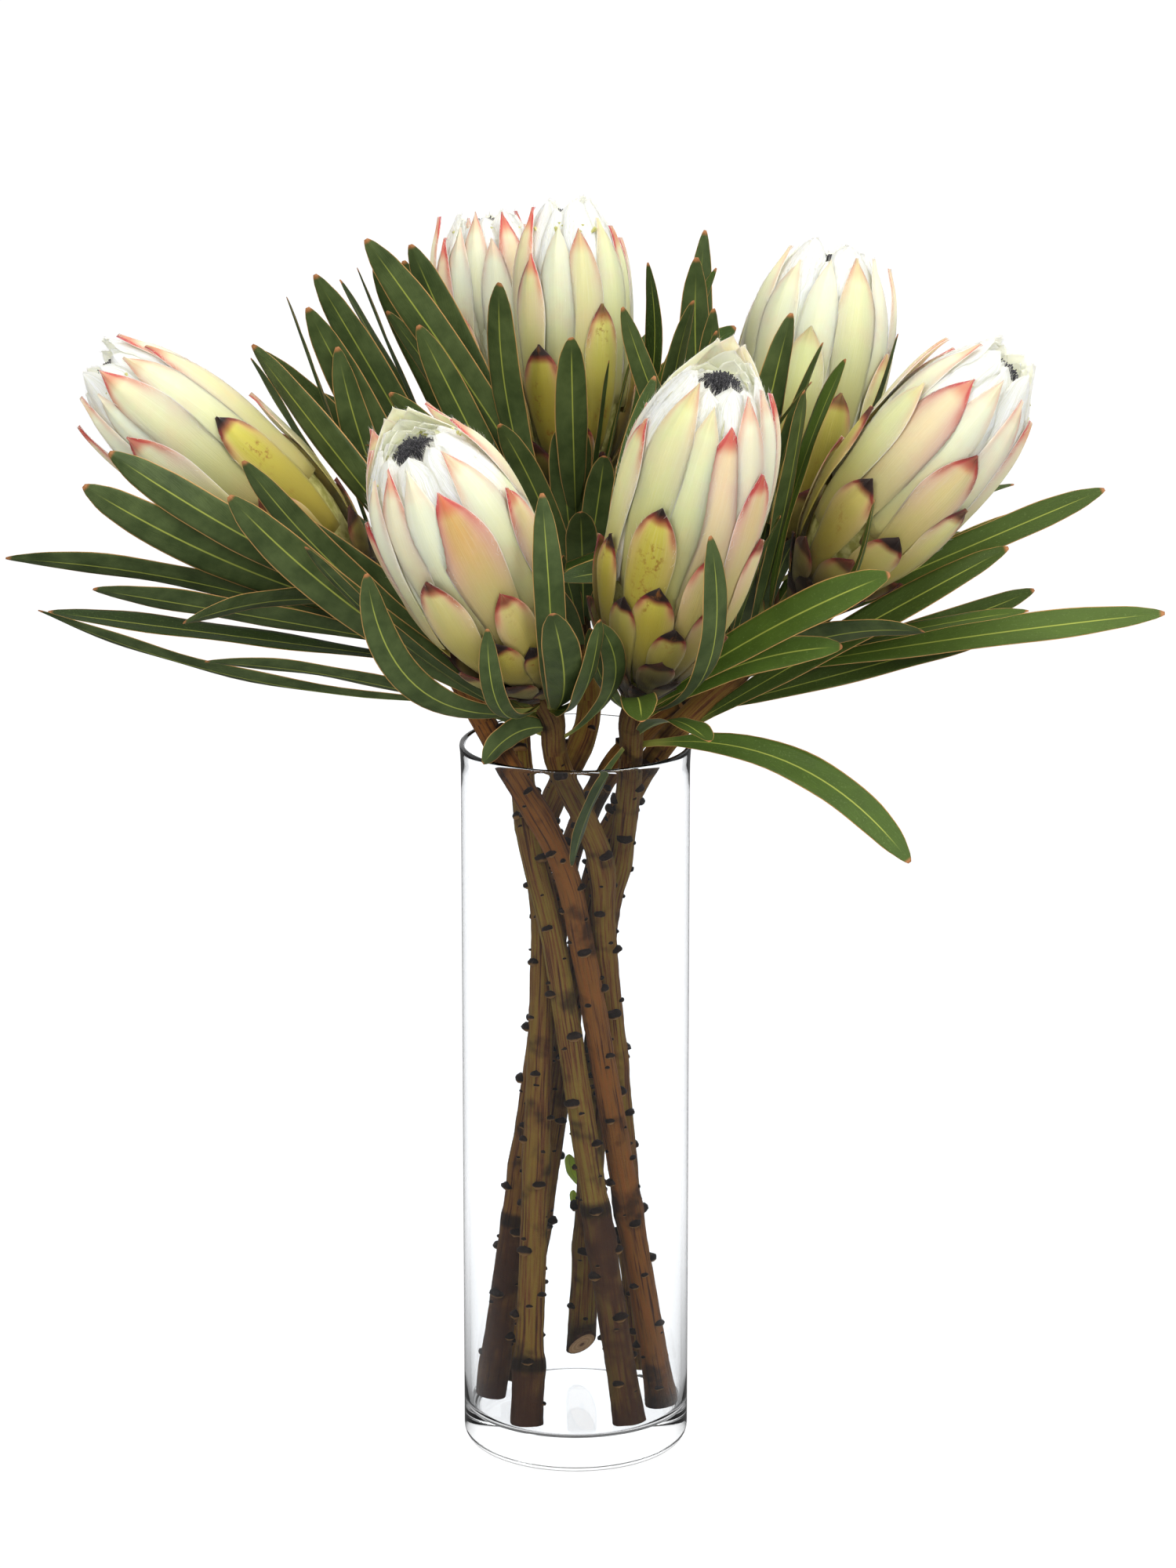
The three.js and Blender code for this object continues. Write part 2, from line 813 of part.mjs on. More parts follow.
const group = new THREE.Group();
for (const [name, { finish, solid }] of Object.entries(solids)) {
  const mesh = new THREE.Mesh(geometryOf(solid), new THREE.MeshStandardMaterial(colours[finish]));
  mesh.name = name;
  group.add(mesh);
}

export default group;
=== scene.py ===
# Seven cut protea stems in a clear glass cylinder vase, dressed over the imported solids.
# Metres, +Z up, the camera looks along +Y.

import math

import bmesh
import bpy
import numpy as np
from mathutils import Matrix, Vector
from mathutils.kdtree import KDTree


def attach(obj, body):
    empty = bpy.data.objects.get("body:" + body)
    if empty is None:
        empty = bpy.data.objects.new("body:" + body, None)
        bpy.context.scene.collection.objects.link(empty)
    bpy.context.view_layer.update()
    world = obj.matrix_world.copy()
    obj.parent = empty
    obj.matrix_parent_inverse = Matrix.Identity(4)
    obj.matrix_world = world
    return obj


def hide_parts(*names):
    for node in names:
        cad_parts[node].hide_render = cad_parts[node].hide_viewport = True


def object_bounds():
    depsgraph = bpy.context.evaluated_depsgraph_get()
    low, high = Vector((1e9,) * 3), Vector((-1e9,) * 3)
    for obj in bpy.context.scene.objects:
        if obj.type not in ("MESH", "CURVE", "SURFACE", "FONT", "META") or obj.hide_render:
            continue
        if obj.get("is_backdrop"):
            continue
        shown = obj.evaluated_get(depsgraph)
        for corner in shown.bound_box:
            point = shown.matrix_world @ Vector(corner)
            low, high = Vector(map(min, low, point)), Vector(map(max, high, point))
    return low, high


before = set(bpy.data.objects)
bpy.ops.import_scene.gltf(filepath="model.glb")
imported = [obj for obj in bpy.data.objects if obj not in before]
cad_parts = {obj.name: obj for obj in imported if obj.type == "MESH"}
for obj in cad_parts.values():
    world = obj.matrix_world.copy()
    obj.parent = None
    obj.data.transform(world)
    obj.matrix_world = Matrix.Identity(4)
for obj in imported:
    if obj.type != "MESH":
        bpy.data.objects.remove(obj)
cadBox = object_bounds()
scene = bpy.context.scene
mm = 0.001


# A socket of a node tree. Arithmetic on it adds the Math or Vector Math nodes.
class Wire:
    def __init__(self, tree, socket):
        self.tree = tree
        self.socket = socket
        self.isVector = socket.type in {"VECTOR", "RGBA"}

    def combine(self, operation, other, flipped=False):
        pair = [other, self] if flipped else [self, other]
        vectors = [p.isVector if isinstance(p, Wire) else isinstance(p, tuple) for p in pair]
        if not any(vectors):
            return self.tree.add("ShaderNodeMath", {"operation": operation}, {0: pair[0], 1: pair[1]})
        if operation == "MULTIPLY" and not all(vectors):
            arrow, scale = pair if vectors[0] else pair[::-1]
            return self.tree.add("ShaderNodeVectorMath", {"operation": "SCALE"}, {0: arrow, 3: scale})
        return self.tree.add("ShaderNodeVectorMath", {"operation": operation}, {0: pair[0], 1: pair[1]})

    def __add__(self, other):
        return self.combine("ADD", other)

    def __radd__(self, other):
        return self.combine("ADD", other, True)

    def __sub__(self, other):
        return self.combine("SUBTRACT", other)

    def __rsub__(self, other):
        return self.combine("SUBTRACT", other, True)

    def __mul__(self, other):
        return self.combine("MULTIPLY", other)

    def __rmul__(self, other):
        return self.combine("MULTIPLY", other, True)

    def __truediv__(self, other):
        return self.combine("DIVIDE", other)

    def __rtruediv__(self, other):
        return self.combine("DIVIDE", other, True)

    def __pow__(self, other):
        return self.combine("POWER", other)

    def plain(self, operation):
        return self.tree.add("ShaderNodeMath", {"operation": operation}, {0: self})

    def ramp(self, low, high):
        settings = {"interpolation_type": "SMOOTHSTEP"}
        return self.tree.add("ShaderNodeMapRange", settings, {0: self, 1: low, 2: high, 3: 0.0, 4: 1.0})

    def part(self, axis):
        return self.tree.add("ShaderNodeSeparateXYZ", {}, {0: self}, out=axis)


# A shader or geometry tree. add() is the one way in which any other node is made.
class Tree:
    def __init__(self, tree):
        self.tree = tree

    def add(self, kind, settings=None, sockets=None, out=0):
        node = self.tree.nodes.new(kind)
        for name, value in (settings or {}).items():
            if name == "stops":
                self.setStops(node.color_ramp.elements, value)
            elif name == "points":
                self.setPoints(node.mapping, value)
            else:
                setattr(node, name, value)
        for key, value in (sockets or {}).items():
            if isinstance(value, Wire):
                self.tree.links.new(value.socket, node.inputs[key])
            else:
                node.inputs[key].default_value = value
        return Wire(self, node.outputs[out]) if len(node.outputs) else node

    def setStops(self, elements, stops):
        while len(elements) < len(stops):
            elements.new(0.5)
        for element, (place, colour) in zip(elements, stops):
            element.position = place
            element.color = colour

    def setPoints(self, mapping, points):
        line = mapping.curves[0]
        while len(line.points) < len(points):
            line.points.new(0.5, 0.5)
        for point, place in zip(line.points, points):
            point.location = place
            point.handle_type = "AUTO"
        mapping.update()

    def curve(self, value, points):
        return self.add("ShaderNodeFloatCurve", {"points": points}, {1: value})

    def vector(self, x, y, z):
        return self.add("ShaderNodeCombineXYZ", {}, {0: x, 1: y, 2: z})

    def cross(self, first, second):
        return self.add("ShaderNodeVectorMath", {"operation": "CROSS_PRODUCT"}, {0: first, 1: second})

    def dot(self, first, second):
        return self.add("ShaderNodeVectorMath", {"operation": "DOT_PRODUCT"}, {0: first, 1: second}, out=1)

    def unit(self, arrow):
        return self.add("ShaderNodeVectorMath", {"operation": "NORMALIZE"}, {0: arrow})

    def mix(self, share, first, second):
        return self.add("ShaderNodeMix", {"data_type": "RGBA"}, {0: share, 6: first, 7: second}, out=2)

    def noise(self, place, scale, detail=2.0, roughness=0.5):
        sockets = {"Vector": place, "Scale": scale, "Detail": detail, "Roughness": roughness}
        return self.add("ShaderNodeTexNoise", {}, sockets)


# ---- how a tree becomes a piece

def newGeometryTree(name, inputs):
    group = bpy.data.node_groups.new(name, "GeometryNodeTree")
    group.interface.new_socket("Geometry", in_out="OUTPUT", socket_type="NodeSocketGeometry")
    group.interface.new_socket("Geometry", in_out="INPUT", socket_type="NodeSocketGeometry")
    kinds = {float: "NodeSocketFloat", int: "NodeSocketInt"}
    for label, value in inputs.items():
        socket = group.interface.new_socket(label, in_out="INPUT", socket_type=kinds[type(value)])
        socket.default_value = value
    group.interface.new_socket("Material", in_out="INPUT", socket_type="NodeSocketMaterial")
    tree = Tree(group)
    entry = group.nodes.new("NodeGroupInput")
    return tree, {socket.name: Wire(tree, socket) for socket in entry.outputs if socket.name}


def endGeometryTree(tree, geometry, material):
    whole = tree.add("GeometryNodeRealizeInstances", {}, {0: geometry})
    smooth = tree.add("GeometryNodeSetShadeSmooth", {}, {0: whole})
    finished = tree.add("GeometryNodeSetMaterial", {}, {0: smooth, 2: material})
    leave = tree.tree.nodes.new("NodeGroupOutput")
    tree.tree.links.new(finished.socket, leave.inputs[0])


def readAttribute(tree, name, kind="FLOAT"):
    return tree.add("GeometryNodeInputNamedAttribute", {"data_type": kind}, {"Name": name})


def storeAttribute(tree, geometry, name, value, kind="FLOAT_VECTOR"):
    sockets = {"Geometry": geometry, "Name": name, "Value": value}
    return tree.add("GeometryNodeStoreNamedAttribute", {"data_type": kind, "domain": "POINT"}, sockets)


# A mesh of loose points or of one line, which carries an attribute for each named column.
def pointMesh(name, count, columns, places=None, asLine=False):
    mesh = bpy.data.meshes.new(name)
    where = np.zeros((count, 3)) if places is None else np.asarray(places)
    edges = [(k, k + 1) for k in range(count - 1)] if asLine else []
    mesh.from_pydata(where.tolist(), edges, [])
    for label, values in columns.items():
        values = np.asarray(values, dtype=np.float32)
        kind, field = ("FLOAT", "value") if values.ndim == 1 else ("FLOAT_VECTOR", "vector")
        layer = mesh.attributes.new(label, kind, "POINT")
        layer.data.foreach_set(field, values.ravel())
    return mesh


def addObject(name, data):
    piece = bpy.data.objects.new(name, data)
    scene.collection.objects.link(piece)
    return piece


# A closed, smooth skin: rings of points, with one point under the first ring and one over the last.
def skinPiece(name, rings, low, top, material):
    sides = len(rings[0])
    points = [tuple(point) for ring in rings for point in ring]
    last = len(points) - sides
    faces = []
    for k in range(sides):
        after = (k + 1) % sides
        faces.append((len(points), after, k))
        faces.append((len(points) + 1, last + k, last + after))
        for start in range(0, last, sides):
            faces.append((start + k, start + after, start + sides + after, start + sides + k))
    mesh = bpy.data.meshes.new(name)
    mesh.from_pydata(points + [tuple(low), tuple(top)], [], faces)
    mesh.shade_smooth()
    mesh.materials.append(material)
    return addObject(name, mesh)


# Runs a geometry tree on a mesh and keeps the result as a plain mesh.
def grow(name, mesh, tree, sizes, material):
    piece = addObject(name, mesh)
    modifier = piece.modifiers.new("grow", "NODES")
    modifier.node_group = tree.tree
    for item in tree.tree.interface.items_tree:
        if item.in_out == "INPUT" and item.name in sizes:
            modifier[item.identifier] = sizes[item.name]
        if item.in_out == "INPUT" and item.name == "Material":
            modifier[item.identifier] = material
    graph = bpy.context.evaluated_depsgraph_get()
    result = bpy.data.meshes.new_from_object(
        piece.evaluated_get(graph), preserve_all_data_layers=True, depsgraph=graph
    )
    piece.modifiers.clear()
    piece.data = result
    result.name = name
    return piece


# Joins pieces into the first one, with their materials.
def joinPieces(pieces, name):
    if len(pieces) > 1:
        chosen = {"selected_objects": pieces, "selected_editable_objects": pieces}
        with bpy.context.temp_override(active_object=pieces[0], object=pieces[0], **chosen):
            bpy.ops.object.join()
    pieces[0].name = name
    return pieces[0]


def settle(piece, slot, *nodes):
    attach(piece, "root")
    if nodes:
        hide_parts(*nodes)


# A thin grid on every point, which knows its own places: across, the share along, and which side.
def bladeGrids(tree, entry, crowding, start=0.0):
    sockets = {
        "Size": (2, 1, 2), "Vertices X": entry["Across"], "Vertices Y": entry["Lengthwise"], "Vertices Z": 2,
    }
    template = tree.add("GeometryNodeMeshCube", {}, sockets)
    sockets = {"Points": entry["Geometry"], "Instance": template}
    blades = tree.add("GeometryNodeInstanceOnPoints", {}, sockets)
    blades = tree.add("GeometryNodeRealizeInstances", {}, {0: blades})
    place = tree.add("GeometryNodeInputPosition")
    free = 1 - (0.5 - place.part(1)).plain("ABSOLUTE") ** crowding
    share = start + (1 - start) * free
    blades = storeAttribute(tree, blades, "blade", tree.vector(place.part(0), share, place.part(2)))
    place = readAttribute(tree, "blade", "FLOAT_VECTOR")
    return blades, place.part(0), place.part(1), place.part(2)


# Stands a thin cone on every point, along its own direction, a little tangled and uneven in length.
def plantCones(tree, entry, points, cone, scales, nextSeed, grownBy=1.0):
    hair = tree.add("GeometryNodeMeshCone", {"fill_type": "NGON"}, cone)
    hair = storeAttribute(tree, hair, "hairPlace", tree.add("GeometryNodeInputPosition"))
    sockets = {0: (-1.0, -1.0, -1.0), 1: (1.0, 1.0, 1.0), "Seed": entry["Seed"]}
    tangle = tree.add("FunctionNodeRandomValue", {"data_type": "FLOAT_VECTOR"}, sockets)
    lean = readAttribute(tree, "grow", "FLOAT_VECTOR") + tangle * entry["Tangle"]
    facing = tree.add("FunctionNodeAlignRotationToVector", {"axis": "Z"}, {"Vector": lean})
    sockets = {2: scales[0], 3: scales[1], "Seed": entry["Seed"] + nextSeed}
    scale = tree.add("FunctionNodeRandomValue", {"data_type": "FLOAT"}, sockets, out=1) * grownBy
    sockets = {"Points": points, "Instance": hair, "Rotation": facing, "Scale": scale}
    endGeometryTree(tree, tree.add("GeometryNodeInstanceOnPoints", {}, sockets), entry["Material"])


# ---- colours

def srgb(red, green, blue):
    def linear(value):
        share = value / 255
        return share / 12.92 if share <= 0.04045 else ((share + 0.055) / 1.055) ** 2.4
    return (linear(red), linear(green), linear(blue), 1.0)


def newMaterial(name):
    material = bpy.data.materials.new(name)
    material.use_nodes = True
    shader = material.node_tree.nodes["Principled BSDF"]
    return material, Tree(material.node_tree), shader


def feed(tree, shader, **links):
    for label, value in links.items():
        socket = shader.inputs[label.replace("_", " ")]
        if isinstance(value, Wire):
            tree.tree.links.new(value.socket, socket)
        else:
            socket.default_value = value


def attribute(tree, name, out=1):
    return tree.add("ShaderNodeAttribute", {"attribute_name": name}, {}, out=out)


def objectPlace(tree):
    return tree.add("ShaderNodeTexCoord", {}, {}, out=3)


def bump(tree, height, strength, distance):
    sockets = {"Strength": strength, "Distance": distance, "Height": height}
    return tree.add("ShaderNodeBump", {}, sockets)


# ---- the flowers: the same numbers as the solids, in millimetres and degrees

flowers = {
    "farLeft": {
        "foot": (36.3, 351, 17), "waistAngle": 284, "shoulder": (19, 250), "rim": (36, 215),
        "neck": (-80, -12, 366), "top": (-185, -10, 454), "widest": 29, "bend": 30,
        "leafyLength": 70, "turn": 40, "blush": 0.35, "green": 0.45, "bark": 0.9, "spread": 0.3,
    },
    "frontLeft": {
        "foot": (36, 38, 24), "waistAngle": 335, "shoulder": (19, 300), "rim": (36, 259),
        "neck": (-14, -55, 334), "top": (-61, -110, 443), "widest": 33.5, "bend": 14,
        "leafyLength": 32, "turn": 100, "blush": 0.8, "green": 0.15, "bark": 0.35, "spread": 0.0,
    },
    "middle": {
        "foot": (36.3, 237, 17), "waistAngle": 181, "shoulder": (19, 139), "rim": (36, 82),
        "neck": (0, 38, 386), "top": (-3, 52, 506), "widest": 27.5, "bend": 40,
        "leafyLength": 78, "turn": 10, "blush": 0.3, "green": 0.95, "bark": 0.4, "spread": 0.25,
    },
    "back": {
        "foot": (35.5, 308, 17), "waistAngle": 232, "shoulder": (18, 190), "rim": (35.5, 132),
        "neck": (-25, 88, 378), "top": (-37, 113, 492), "widest": 29, "bend": 36,
        "leafyLength": 96, "turn": 75, "blush": 0.75, "green": 0.3, "bark": 0.2, "spread": 0.6,
    },
    "frontRight": {
        "foot": (32, 86, 30), "waistAngle": 27, "shoulder": (19, 351), "rim": (36, 308),
        "neck": (25, -50, 331), "top": (56, -100, 467), "widest": 33.5, "bend": 12,
        "leafyLength": 36, "turn": 200, "blush": 0.7, "green": 0.5, "bark": 0.3, "spread": 0.0,
    },
    "backRight": {
        "foot": (36.3, 174, 17), "waistAngle": 130, "shoulder": (18, 88), "rim": (35.5, 36),
        "neck": (80, 52, 360), "top": (105, 75, 483), "widest": 34, "bend": 36,
        "leafyLength": 66, "turn": 300, "blush": 0.1, "green": 0.7, "bark": 0.6, "spread": 0.5,
    },
    "farRight": {
        "foot": (36.5, 136, 17), "waistAngle": 78, "shoulder": (18, 39), "rim": (36, 355),
        "neck": (89, -5, 357), "top": (168, -30, 458), "widest": 31, "bend": 26,
        "leafyLength": 80, "turn": 150, "blush": 0.45, "green": 0.4, "bark": 0.5, "spread": 0.2,
    },
}
flowerNames = list(flowers)
waist = {"height": 215, "radius": 13.2}
shoulderHeight = 257
vaseHeight = 300
goldenAngle = math.radians(137.508)


def polar(radius, degrees, height):
    angle = math.radians(degrees)
    return np.array([radius * math.cos(angle), radius * math.sin(angle), height])


def unit(arrow):
    return arrow / np.linalg.norm(arrow)


def scatter(index):
    value = math.sin(index * 12.9898) * 43758.5453
    return value - math.floor(value)


def axisOf(flower):
    return unit(np.subtract(flower["top"], flower["neck"]).astype(float))


# The middle line of a stem: a Catmull-Rom curve measured by its length, in millimetres.
class Route:
    def __init__(self, flower):
        foot = polar(*flower["foot"])
        bundle = polar(waist["radius"], flower["waistAngle"], waist["height"])
        neck = np.array(flower["neck"], float)
        self.points = [
            foot,
            (foot + bundle) / 2,
            bundle,
            polar(*flower["shoulder"], shoulderHeight),
            polar(*flower["rim"], vaseHeight),
            neck - axisOf(flower) * flower["bend"],
            neck,
        ]
        self.shares = np.linspace(0, 1, 201)
        line = np.array([self.atTime(t) for t in self.shares])
        self.lengths = np.concatenate([[0], np.cumsum(np.linalg.norm(np.diff(line, axis=0), axis=1))])
        self.length = self.lengths[-1]

    def atTime(self, time):
        last = len(self.points) - 1
        place = last * time
        index = min(int(place), last - 1)
        weight = place - index
        b, c = self.points[index], self.points[index + 1]
        a = self.points[index - 1] if index > 0 else 2 * b - c
        d = self.points[index + 2] if index + 2 <= last else 2 * c - b
        startPull, endPull = (c - a) / 2, (d - b) / 2
        square = 2 * b - 2 * c + startPull + endPull
        flat = -3 * b + 3 * c - 2 * startPull - endPull
        return b + startPull * weight + flat * weight ** 2 + square * weight ** 3

    def timeAt(self, share):
        return np.interp(share * self.length, self.lengths, self.shares)

    def at(self, share):
        return self.atTime(self.timeAt(share))

    def along(self, share):
        time = self.timeAt(share)
        return unit(self.atTime(min(1, time + 0.0001)) - self.atTime(max(0, time - 0.0001)))


routes = {name: Route(flower) for name, flower in flowers.items()}
print("routes", {name: round(route.length) for name, route in routes.items()})


# ---- the vase: a turned wall of clear glass

vaseSizes = {
    "radius": 46.5, "wall": 2.6, "floor": 15, "cornerRadius": 7, "innerCornerRadius": 5, "cornerSteps": 8,
    "sides": 160, "rings": 14, "straightFrom": 20, "straightTo": 280, "insideFrom": 30,
    # the lip: how far each ring stands out, and how far it is below the rim
    "lip": [
        (0, 14), (0.1, 8), (0.3, 4), (0.5, 2), (0.55, 1.2), (0.4, 0.4), (0, 0),
        (-0.7, 0), (-1.3, 0.4), (-1.6, 1.2), (-1.8, 2.6),
    ],
    "insideLip": [(0.35, 7), (0, 12)],
}


def vaseProfile():
    size = vaseSizes
    radius, corner, innerCorner = size["radius"], size["cornerRadius"], size["innerCornerRadius"]
    inner = radius - size["wall"]
    outside = np.linspace(size["straightFrom"], size["straightTo"], size["rings"])
    inside = np.linspace(size["straightTo"], size["insideFrom"], size["rings"])
    turns = [k / size["cornerSteps"] * math.pi / 2 for k in range(size["cornerSteps"] + 1)]
    profile = [(radius - corner * (1 - math.sin(turn)), corner * (1 - math.cos(turn))) for turn in turns]
    profile += [(radius, height) for height in outside]
    profile += [(radius + reach, vaseHeight - depth) for reach, depth in size["lip"]]
    profile += [(inner + reach, vaseHeight - depth) for reach, depth in size["insideLip"]]
    profile += [(inner, height) for height in inside]
    for turn in turns:
        reach = inner - innerCorner * (1 - math.cos(turn))
        profile.append((reach, size["floor"] + innerCorner * (1 - math.sin(turn))))
    return profile


def makeVase(material):
    turns = [360 * k / vaseSizes["sides"] for k in range(vaseSizes["sides"])]
    rings = [[polar(radius, turn, height) * mm for turn in turns] for radius, height in vaseProfile()]
    return skinPiece("clearVase", rings, (0, 0, 0), (0, 0, vaseSizes["floor"] * mm), material)


def makeGlass():
    material, tree, shader = newMaterial("clearGlass")
    smears = tree.noise(objectPlace(tree), 30.0, 3.0)
    feed(tree, shader, Base_Color=(0.98, 0.99, 0.995, 1), Transmission_Weight=1.0, IOR=1.45)
    feed(tree, shader, Roughness=0.003 * smears.ramp(0.55, 0.8), Specular_IOR_Level=0.4)
    return material


# ---- stems: a knobbly bark tube along each route, with leaf scars

stemSizes = {
    "footRadius": 6.0, "neckRadius": 4.9, "step": 3.0, "sides": 18, "checks": 121,
    "ridges": 0.38, "ridgeScale": 260.0, "lumps": 0.9, "lumpScale": 0.22,
    # shares of the radius: where stems press close, and what is added where they stand free
    "pressed": 0.935, "free": 0.035, "freeFrom": 0.3, "knotRoom": 2.0,
    "knotEvery": 88, "knotShift": 0.37, "knotTightness": 14, "knotSwell": 0.12,
    "footLength": 25, "footSwell": 0.1, "ringWidth": 3.5, "ringSwell": 0.13, "oldFade": 3, "oldSwell": 0.05,
    "darkNeckLength": 70, "darkNeckFade": 60,
    "scarEvery": 4.6, "scarHalfLength": 1.5, "scarHalfWidth": 2.5, "scarHeight": 2.1, "scarRoughness": 2.2,
    "bigScar": (0.75, 0.7), "smallScar": (0.3, 0.35), "scarSeat": 0.96, "scarRoom": 0.4, "firstScar": 0.02,
}
# How far up from the cut the old dark wood of last year's shoot reaches.
oldWood = {"middle": 26, "back": 92, "backRight": 78}
# The one slanted cut. Its rings: share of the stem's radius and how far each stands out, in mm.
cutEnd = {
    "stem": "frontRight", "slant": 8.0, "reach": 14, "towards": (0.45, -0.9, 0.0), "dome": 1.0,
    "rimFrom": 1e-7,
    "rings": [(0.94, -1.0), (0.95, 0.5), (0.89, 0.75), (0.72, 0.85), (0.45, 0.9), (0.2, 0.95)],
}
# The bud is made as tiny leaves, each: turn, climb, length, width, roll, bow.
bud = {
    "stem": "frontRight", "fromFoot": 72, "apart": 9, "light": 1.7, "rootDepth": 0.15,
    "leaves": [(160, 58, 17, 7, 75, -3), (168, 50, 10, 5, 65, -3)],
}


def barkTree():
    size = stemSizes
    inputs = {
        "Sides": size["sides"], "Ridge height": size["ridges"] * mm, "Ridge scale": size["ridgeScale"],
        "Cut": 0.0, "Cut reach": cutEnd["reach"] * mm,
    }
    tree, entry = newGeometryTree("barkTube", inputs)
    line = tree.add("GeometryNodeMeshToCurve", {}, {0: entry["Geometry"]})
    ring = tree.add("GeometryNodeCurvePrimitiveCircle", {}, {"Resolution": entry["Sides"], "Radius": 1.0})
    ring = storeAttribute(tree, ring, "ringPlace", tree.add("GeometryNodeInputPosition"))
    sockets = {0: line, 1: ring, 2: readAttribute(tree, "thick"), 3: True}
    tube = tree.add("GeometryNodeCurveToMesh", {}, sockets)
    place = tree.add("GeometryNodeInputPosition")
    normal = tree.add("GeometryNodeInputNormal")
    rough = tree.noise(place, entry["Ridge scale"], 3.0) - 0.5
    lumps = tree.noise(place, entry["Ridge scale"] * size["lumpScale"], 1.0) - 0.5
    push = normal * ((rough + lumps * size["lumps"]) * entry["Ridge height"] * 2.0)
    nearCut = 1 - (readAttribute(tree, "runLength") / entry["Cut reach"]).ramp(0.0, 1.0)
    level = tree.unit(tree.vector(normal.part(0), normal.part(1), 0.0))
    slant = tree.vector(0.0, 0.0, tree.dot(level, cutEnd["towards"]) * entry["Cut"] * nearCut)
    tube = tree.add("GeometryNodeSetPosition", {}, {0: tube, 3: push + slant})
    endGeometryTree(tree, tube, entry["Material"])
    return tree


def scarTree():
    inputs = {
        "Half length": stemSizes["scarHalfLength"] * mm, "Half width": stemSizes["scarHalfWidth"] * mm,
        "Height": stemSizes["scarHeight"] * mm,
    }
    tree, entry = newGeometryTree("leafScars", inputs)
    dome = tree.add("GeometryNodeMeshUVSphere", {}, {"Segments": 9, "Rings": 5, "Radius": 1.0})
    dome = storeAttribute(tree, dome, "scarPlace", tree.add("GeometryNodeInputPosition"))
    size = tree.vector(entry["Half width"], entry["Half length"], entry["Height"])
    outward = readAttribute(tree, "outward", "FLOAT_VECTOR")
    upward = readAttribute(tree, "upward", "FLOAT_VECTOR")
    settings = {"primary_axis": "Z", "secondary_axis": "Y"}
    facing = tree.add("FunctionNodeAxesToRotation", settings, {0: outward, 1: upward})
    size = size * readAttribute(tree, "grownBy")
    sockets = {"Points": entry["Geometry"], "Instance": dome, "Rotation": facing, "Scale": size}
    scars = tree.add("GeometryNodeInstanceOnPoints", {}, sockets)
    scars = tree.add("GeometryNodeRealizeInstances", {}, {0: scars})
    rough = tree.noise(tree.add("GeometryNodeInputPosition"), 420.0, 2.0) - 0.5
    push = tree.add("GeometryNodeInputNormal") * (rough * (stemSizes["scarRoughness"] * mm))
    scars = tree.add("GeometryNodeSetPosition", {}, {0: scars, 3: push})
    endGeometryTree(tree, scars, entry["Material"])
    return tree


def stemRadius(share):
    return stemSizes["footRadius"] + (stemSizes["neckRadius"] - stemSizes["footRadius"]) * share


stemLines = {
    name: np.array([route.at(share) for share in np.linspace(0, 1, stemSizes["checks"])])
    for name, route in routes.items()
}


# How far a place is from the middle of the nearest other stem.
def roomBeside(name, place):
    others = np.concatenate([line for other, line in stemLines.items() if other != name])
    return np.linalg.norm(others - place, axis=1).min()


# Where stems lean on each other, their knots flatten.
def barkLine(name, route, low, high):
    size = stemSizes
    count = max(6, int((high - low) * route.length / size["step"]))
    shares = np.linspace(low, high, count)
    oldTo = oldWood.get(name, -99)
    shift = size["knotShift"] * flowerNames.index(name)
    thick, old, ring = [], [], []
    for share in shares:
        distance = share * route.length
        knot = math.cos(math.pi * (distance / size["knotEvery"] + shift)) ** 2
        swell = size["knotSwell"] * knot ** size["knotTightness"]
        swell += size["footSwell"] * max(0, 1 - distance / size["footLength"])
        old.append(min(1, max(0, (oldTo - distance) / size["oldFade"])))
        ring.append(math.exp(-((distance - oldTo) / size["ringWidth"]) ** 2))
        spare = roomBeside(name, route.at(share)) - 2 * stemRadius(share)
        free = min(1, max(0, (spare - size["freeFrom"]) / size["knotRoom"]))
        proud = swell + size["ringSwell"] * ring[-1] + size["oldSwell"] * old[-1]
        thick.append(stemRadius(share) * (size["pressed"] + free * (size["free"] + proud)))
    # The top of the stem is darker: partly the young bark's own colour, partly painted shade under the head and
    # its leaves.
    darkNeckPast = shares * route.length - route.length + size["darkNeckLength"]
    columns = {
        "thick": np.array(thick) * mm,
        "runLength": shares * route.length * mm,
        "hue": np.full(count, flowers[name]["bark"]),
        "old": old,
        "ring": ring,
        "youth": np.clip(darkNeckPast / size["darkNeckFade"], 0, 1),
    }
    places = np.array([route.at(share) for share in shares]) * mm
    return pointMesh(name + "Line", count, columns, places, asLine=True)


# Big and small scars take turns up the stem. Those that another stem would press on are left out.
def scarPoints(name, route, low, high):
    size = stemSizes
    places, outs, ups, grown = [], [], [], []
    for k in range(1, int(route.length / size["scarEvery"])):
        share = k * size["scarEvery"] / route.length
        if not low < share < high:
            continue
        along = route.along(share)
        right = unit(np.cross([0, 1, 0], along))
        angle = (k / 2 if k % 2 == 0 else k * 1.7) * goldenAngle + flowers[name]["turn"]
        out = right * math.cos(angle) + np.cross(along, right) * math.sin(angle)
        least, more = size["bigScar"] if k % 2 == 0 else size["smallScar"]
        grownBy = least + more * scatter(k)
        room = roomBeside(name, route.at(share) + out * stemRadius(share)) - stemRadius(share)
        if room < size["scarRoom"] + size["scarHeight"] * grownBy:
            continue
        places.append((route.at(share) + out * stemRadius(share) * size["scarSeat"]) * mm)
        outs.append(out)
        ups.append(along)
        grown.append(grownBy)
    hue = np.full(len(places), flowers[name]["bark"])
    columns = {"outward": outs, "upward": ups, "grownBy": grown, "hue": hue, "scar": np.ones(len(places))}
    return pointMesh(name + "Scars", len(places), columns, places)


